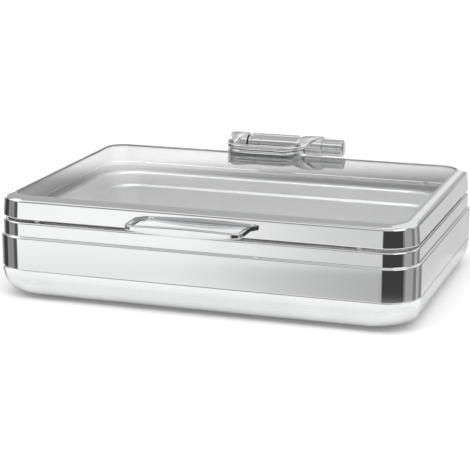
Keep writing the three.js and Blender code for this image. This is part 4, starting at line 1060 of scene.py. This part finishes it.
def build_handling():
    """Faint wipe marks and handling dullness, as roughness and colour."""
    group, start, end = new_group(
        "handling marks",
        [
            ("Clean Colour", "NodeSocketColor", (0.8, 0.8, 0.8, 1)),
            ("Marked Colour", "NodeSocketColor", (0.8, 0.8, 0.8, 1)),
            ("Clean Roughness", "NodeSocketFloat", 0.05),
            ("Marked Roughness", "NodeSocketFloat", 0.09),
            ("Size", "NodeSocketFloat", 14.0),
        ],
        [("Color", "NodeSocketColor"), ("Roughness", "NodeSocketFloat")],
    )
    place = add_node(group, "ShaderNodeTexCoord")
    clouds = add_node(group, "ShaderNodeTexNoise")
    clouds.inputs["Detail"].default_value = 5.0
    clouds.inputs["Distortion"].default_value = 0.6
    marked = smooth_rise(group, clouds.outputs["Fac"], *MARKS_RANGE)
    rough = add_node(group, "ShaderNodeMix", data_type="FLOAT")
    tint = add_node(group, "ShaderNodeMix", data_type="RGBA")
    group.links.new(place.outputs["Object"], clouds.inputs["Vector"])
    group.links.new(start.outputs["Size"], clouds.inputs["Scale"])
    group.links.new(marked, rough.inputs["Factor"])
    group.links.new(marked, tint.inputs["Factor"])
    group.links.new(start.outputs["Clean Roughness"], rough.inputs["A"])
    group.links.new(start.outputs["Marked Roughness"], rough.inputs["B"])
    group.links.new(start.outputs["Clean Colour"], tint.inputs[6])
    group.links.new(start.outputs["Marked Colour"], tint.inputs[7])
    group.links.new(rough.outputs["Result"], end.inputs["Roughness"])
    group.links.new(tint.outputs[2], end.inputs["Color"])
    return group


def place_group(tree, group, **values):
    """Node group in a material with its own values; spaces in socket names are underscores here."""
    node = add_node(tree, "ShaderNodeGroup", node_tree=group)
    for key, value in values.items():
        node.inputs[key.replace("_", " ")].default_value = value
    return node


def finish(name, clean, marked, clean_rough, marked_rough, marks_size, relief, metallic=1.0):
    """Material with handling marks and a relief group on one Principled shader."""
    material, tree, shader = new_material(name)
    shader.inputs["Metallic"].default_value = metallic
    marks = place_group(
        tree, handling_marks, Clean_Colour=(*clean, 1), Marked_Colour=(*marked, 1),
        Clean_Roughness=clean_rough, Marked_Roughness=marked_rough, Size=marks_size,
    )
    group, values = relief
    surface = place_group(tree, group, **values)
    tree.links.new(marks.outputs["Color"], shader.inputs["Base Color"])
    tree.links.new(marks.outputs["Roughness"], shader.inputs["Roughness"])
    tree.links.new(surface.outputs["Normal"], shader.inputs["Normal"])
    return material


def build_glass():
    material, tree, shader = new_material("clear tempered glass")
    shader.inputs["Metallic"].default_value = 0
    shader.inputs["Transmission Weight"].default_value = 1
    shader.inputs["IOR"].default_value = GLASS_IOR
    shader.inputs["Specular IOR Level"].default_value = 0.5
    marks = place_group(
        tree, handling_marks, Clean_Colour=(0.985, 0.995, 0.99, 1), Marked_Colour=(0.97, 0.985, 0.98, 1),
        Clean_Roughness=0.0, Marked_Roughness=0.012, Size=6.0,
    )
    tree.links.new(marks.outputs["Color"], shader.inputs["Base Color"])
    tree.links.new(marks.outputs["Roughness"], shader.inputs["Roughness"])
    return material


sheet_ripple = build_relief("sheet ripple", "Size", 9.0, 0.00004, 1.0, roughness=0.4)
handling_marks = build_handling()
satin_grain = build_relief("satin grain", "Lines", 900.0, 0.00001, 3.0, stretch=(0.02, 1, 1))
moulded_texture = build_relief("moulded texture", "Size", 1800.0, 0.00002, 2.0)
mirror_steel = finish(
    "mirror polished steel", (0.88, 0.885, 0.89), (0.85, 0.855, 0.86), 0.035, 0.06, 12.0,
    (sheet_ripple, {"Size": 10.0, "Depth": 0.00003}),
)
satin_steel = finish(
    "satin steel", (0.89, 0.89, 0.89), (0.88, 0.88, 0.875), 0.48, 0.50, 16.0,
    (satin_grain, {"Lines": 900.0, "Depth": 0.000003}),
)
# The rougher polish is the hinge's finish; the colour lighter than the mirror steel is a painted
# highlight that whitens the arms
hinge_steel_painted_highlight = finish(
    "soft polished steel of the hinge", (0.94, 0.94, 0.94), (0.92, 0.92, 0.92), 0.22, 0.26, 12.0,
    (sheet_ripple, {"Size": 10.0, "Depth": 0.00003}),
)
# The same satin steel darkened to 0.28: painted shade on the deck and the lid's inner ring, which sit
# under the lid
ledge_steel_painted_shade = finish(
    "satin steel of the ledges, darkened as painted shade", (0.28, 0.28, 0.28), (0.27, 0.27, 0.27), 0.30, 0.34, 16.0,
    (satin_grain, {"Lines": 900.0, "Depth": 0.000003}),
)
plated_steel = finish(
    "plated steel", (0.66, 0.67, 0.68), (0.58, 0.59, 0.60), 0.18, 0.26, 60.0,
    (satin_grain, {"Lines": 2400.0, "Depth": 0.000006}),
)
spring_steel = finish(
    "spring steel", (0.42, 0.42, 0.43), (0.34, 0.34, 0.35), 0.30, 0.42, 80.0,
    (satin_grain, {"Lines": 2400.0, "Depth": 0.00001}),
)
# The seal's grey is lightened past its own dark tone: painted sheen along the edge of the glass
seal_grey_painted_sheen = finish(
    "silicone seal lightened grey as painted sheen", (0.34, 0.342, 0.345), (0.36, 0.36, 0.36), 0.55, 0.65, 30.0,
    (moulded_texture, {"Size": 1500.0, "Depth": 0.00001}), 0.0,
)
pale_silicone = finish(
    "pale silicone", (0.70, 0.70, 0.68), (0.62, 0.62, 0.60), 0.5, 0.6, 60.0,
    (moulded_texture, {"Size": 1800.0, "Depth": 0.00001}), 0.0,
)
dark_polymer = finish(
    "dark polymer", (0.025, 0.026, 0.028), (0.04, 0.04, 0.04), 0.42, 0.55, 60.0,
    (moulded_texture, {"Size": 2000.0, "Depth": 0.00002}), 0.0,
)
clear_glass = build_glass()


def dress_carried_nodes():
    """Hidden CAD nodes that stay as they are get the finish of their kind."""
    finishes = {
        "hinge_shaft": plated_steel,
        "shaft_plug_left": plated_steel,
        "shaft_plug_right": plated_steel,
        "torsion_spring": spring_steel,
        "damper_rotor": dark_polymer,
        "hinge_backing_plate": satin_steel,
        "lid_stiffener": satin_steel,
    }
    for node, material in finishes.items():
        mesh = frame["nodes"][node].data
        mesh.materials.clear()
        mesh.materials.append(material)


make_water_pan()
make_base_plate()
make_deck()
make_food_pan()
make_lid_frame()
make_inner_frame()
make_seal()
make_glass()
make_bumpers()
make_handle()
make_barrel()
make_arm_loop()
make_loop_pad()
make_damper()
make_cap("cap_right", "end_cap_right", 1, BARREL_RADIUS - DAMPER_WALL - CONTACT_GAP)
make_cap("cap_left", "end_cap_left", -1, BUSH_RADIUS)
make_bushes()
for number in range(1, 5):
    make_screw(f"bracket_screw_{number}", "base", -Y_AXIS)
    make_screw(f"loop_screw_{number}", "lid", -Z_AXIS)
for side_name in ("left", "right"):
    make_screw(f"handle_screw_{side_name}", "lid", -Y_AXIS)
    make_washer(f"handle_washer_{side_name}")
dress_carried_nodes()


def add_floor():
    """Pale floor that keeps the contact shadow and reads white where it is open. Its glow is painted
    light: weaker near the dish, so it paints shade round the foot, and also lifting the floor seen in
    the steel.
    """
    bm = bmesh.new()
    bmesh.ops.create_grid(bm, x_segments=8, y_segments=8, size=FLOOR_SIZE)
    mesh = bpy.data.meshes.new("studio floor")
    bm.to_mesh(mesh)
    bm.free()
    floor = bpy.data.objects.new("studio_floor", mesh)
    bpy.context.scene.collection.objects.link(floor)
    material, tree, shader = new_material("pale floor")
    shader.inputs["Base Color"].default_value = (FLOOR_COLOUR, FLOOR_COLOUR, FLOOR_COLOUR, 1)
    shader.inputs["Roughness"].default_value = 1
    shader.inputs["Specular IOR Level"].default_value = 0
    shader.inputs["Emission Color"].default_value = (1, 1, 1, 1)
    path = add_node(tree, "ShaderNodeLightPath")
    place = add_node(tree, "ShaderNodeTexCoord")
    half_foot = 0.5 * (pan_high - pan_low) - Vector((BOWL_WIDTH, BOWL_WIDTH, 0))
    outside = place.outputs["Object"]
    for operation, other in (("ABSOLUTE", ZERO), ("SUBTRACT", half_foot), ("MAXIMUM", ZERO)):
        node = add_node(tree, "ShaderNodeVectorMath", operation=operation)
        tree.links.new(outside, node.inputs[0])
        node.inputs[1].default_value = other
        outside = node.outputs["Vector"]
    reach = add_node(tree, "ShaderNodeVectorMath", operation="LENGTH")
    tree.links.new(outside, reach.inputs[0])
    distance = reach.outputs["Value"]
    mirrored = path.outputs["Is Glossy Ray"]
    seen = maths(tree, "MAXIMUM", path.outputs["Is Camera Ray"], path.outputs["Is Transmission Ray"])
    shown = maths(tree, "MULTIPLY_ADD", mirrored, FLOOR_PAINTED_GLOW_MIRRORED, seen)
    # Painted glow: weak close to the dish, which paints shade round its foot, strong further out
    level = smooth_rise(tree, distance, *FLOOR_PAINTED_GLOW_REACH, FLOOR_PAINTED_GLOW_NEAR, FLOOR_PAINTED_GLOW_FAR)
    painted_glow = maths(tree, "MULTIPLY", level, shown)
    tree.links.new(painted_glow, shader.inputs["Emission Strength"])
    clear = add_node(tree, "ShaderNodeBsdfTransparent")
    mixed = add_node(tree, "ShaderNodeMixShader")
    away = maths(tree, "MULTIPLY", smooth_rise(tree, distance, *FLOOR_MIRRORED_REACH), mirrored)
    tree.links.new(away, mixed.inputs["Fac"])
    tree.links.new(shader.outputs["BSDF"], mixed.inputs[1])
    tree.links.new(clear.outputs["BSDF"], mixed.inputs[2])
    tree.links.new(mixed.outputs["Shader"], tree.nodes["Material Output"].inputs["Surface"])
    mesh.materials.append(material)


def add_lamp():
    data = bpy.data.lights.new("large soft lamp", "AREA")
    data.shape = "RECTANGLE"
    data.size = LAMP_SIZE
    data.size_y = LAMP_SIZE
    data.energy = LAMP_POWER
    lamp = bpy.data.objects.new("large soft lamp", data)
    lamp.location = LAMP_PLACE
    lamp.rotation_euler = (-Vector(LAMP_PLACE)).to_track_quat("-Z", "Y").to_euler()
    lamp.visible_glossy = False
    bpy.context.scene.collection.objects.link(lamp)


def build_studio():
    """Pale room seen in the steel: levels by direction, with soft-edged panels."""
    world = bpy.data.worlds.new("studio")
    bpy.context.scene.world = world
    world.use_nodes = True
    tree = world.node_tree
    background = tree.nodes["Background"]
    place = add_node(tree, "ShaderNodeTexCoord")
    split = add_node(tree, "ShaderNodeSeparateXYZ")
    tree.links.new(place.outputs["Generated"], split.inputs["Vector"])

    elevation = maths(tree, "DEGREES", maths(tree, "ARCSINE", split.outputs["Z"]))
    toward_viewer = maths(tree, "MULTIPLY", split.outputs["Y"], -1.0)
    azimuth = maths(tree, "DEGREES", maths(tree, "ARCTAN2", split.outputs["X"], toward_viewer))

    def inside(value, limits, softness):
        low, high = limits
        return maths(
            tree, "MULTIPLY",
            smooth_rise(tree, value, low - softness, low + softness),
            smooth_rise(tree, value, high - softness, high + softness, 1.0, 0.0),
        )

    def blend(level, target, mask):
        node = add_node(tree, "ShaderNodeMix", data_type="FLOAT")
        tree.links.new(mask, node.inputs["Factor"])
        tree.links.new(level, node.inputs["A"])
        node.inputs["B"].default_value = target
        return node.outputs["Result"]

    share = maths(tree, "DIVIDE", maths(tree, "ADD", elevation, 90.0), 180.0)
    ramp = add_node(tree, "ShaderNodeValToRGB")
    stops = ramp.color_ramp.elements
    while len(stops) < len(ROOM_LEVELS):
        stops.new(0.5)
    for stop, (degrees, level) in zip(stops, ROOM_LEVELS):
        stop.position = (degrees + 90) / 180
        stop.color = (level, level, level, 1)
    tree.links.new(share, ramp.inputs["Fac"])
    level = ramp.outputs["Color"]
    for azimuths, elevations, soft_side, soft_edge, target in PANELS:
        beside = inside(azimuth, azimuths, soft_side)
        above = inside(elevation, elevations, soft_edge)
        level = blend(level, target, maths(tree, "MULTIPLY", beside, above))
    path = add_node(tree, "ShaderNodeLightPath")
    unmirrored = maths(tree, "LESS_THAN", path.outputs["Glossy Depth"], 0.5)
    through = maths(tree, "MULTIPLY", path.outputs["Is Transmission Ray"], unmirrored)
    direct = maths(tree, "MAXIMUM", path.outputs["Is Camera Ray"], through)
    level = blend(level, 1.0, direct)
    tree.links.new(level, background.inputs["Color"])
    background.inputs["Strength"].default_value = 1.0


def add_camera():
    data = bpy.data.cameras.new("photo view")
    data.lens = CAMERA_LENS
    data.sensor_width = CAMERA_SENSOR
    camera = bpy.data.objects.new("photo view", data)
    camera.location = CAMERA_PLACE
    view = Vector(CAMERA_TARGET) - Vector(CAMERA_PLACE)
    camera.rotation_euler = view.to_track_quat("-Z", "Y").to_euler()
    bpy.context.scene.collection.objects.link(camera)
    bpy.context.scene.camera = camera


add_floor()
add_lamp()
build_studio()
add_camera()
bpy.context.scene.view_settings.view_transform = "Standard"
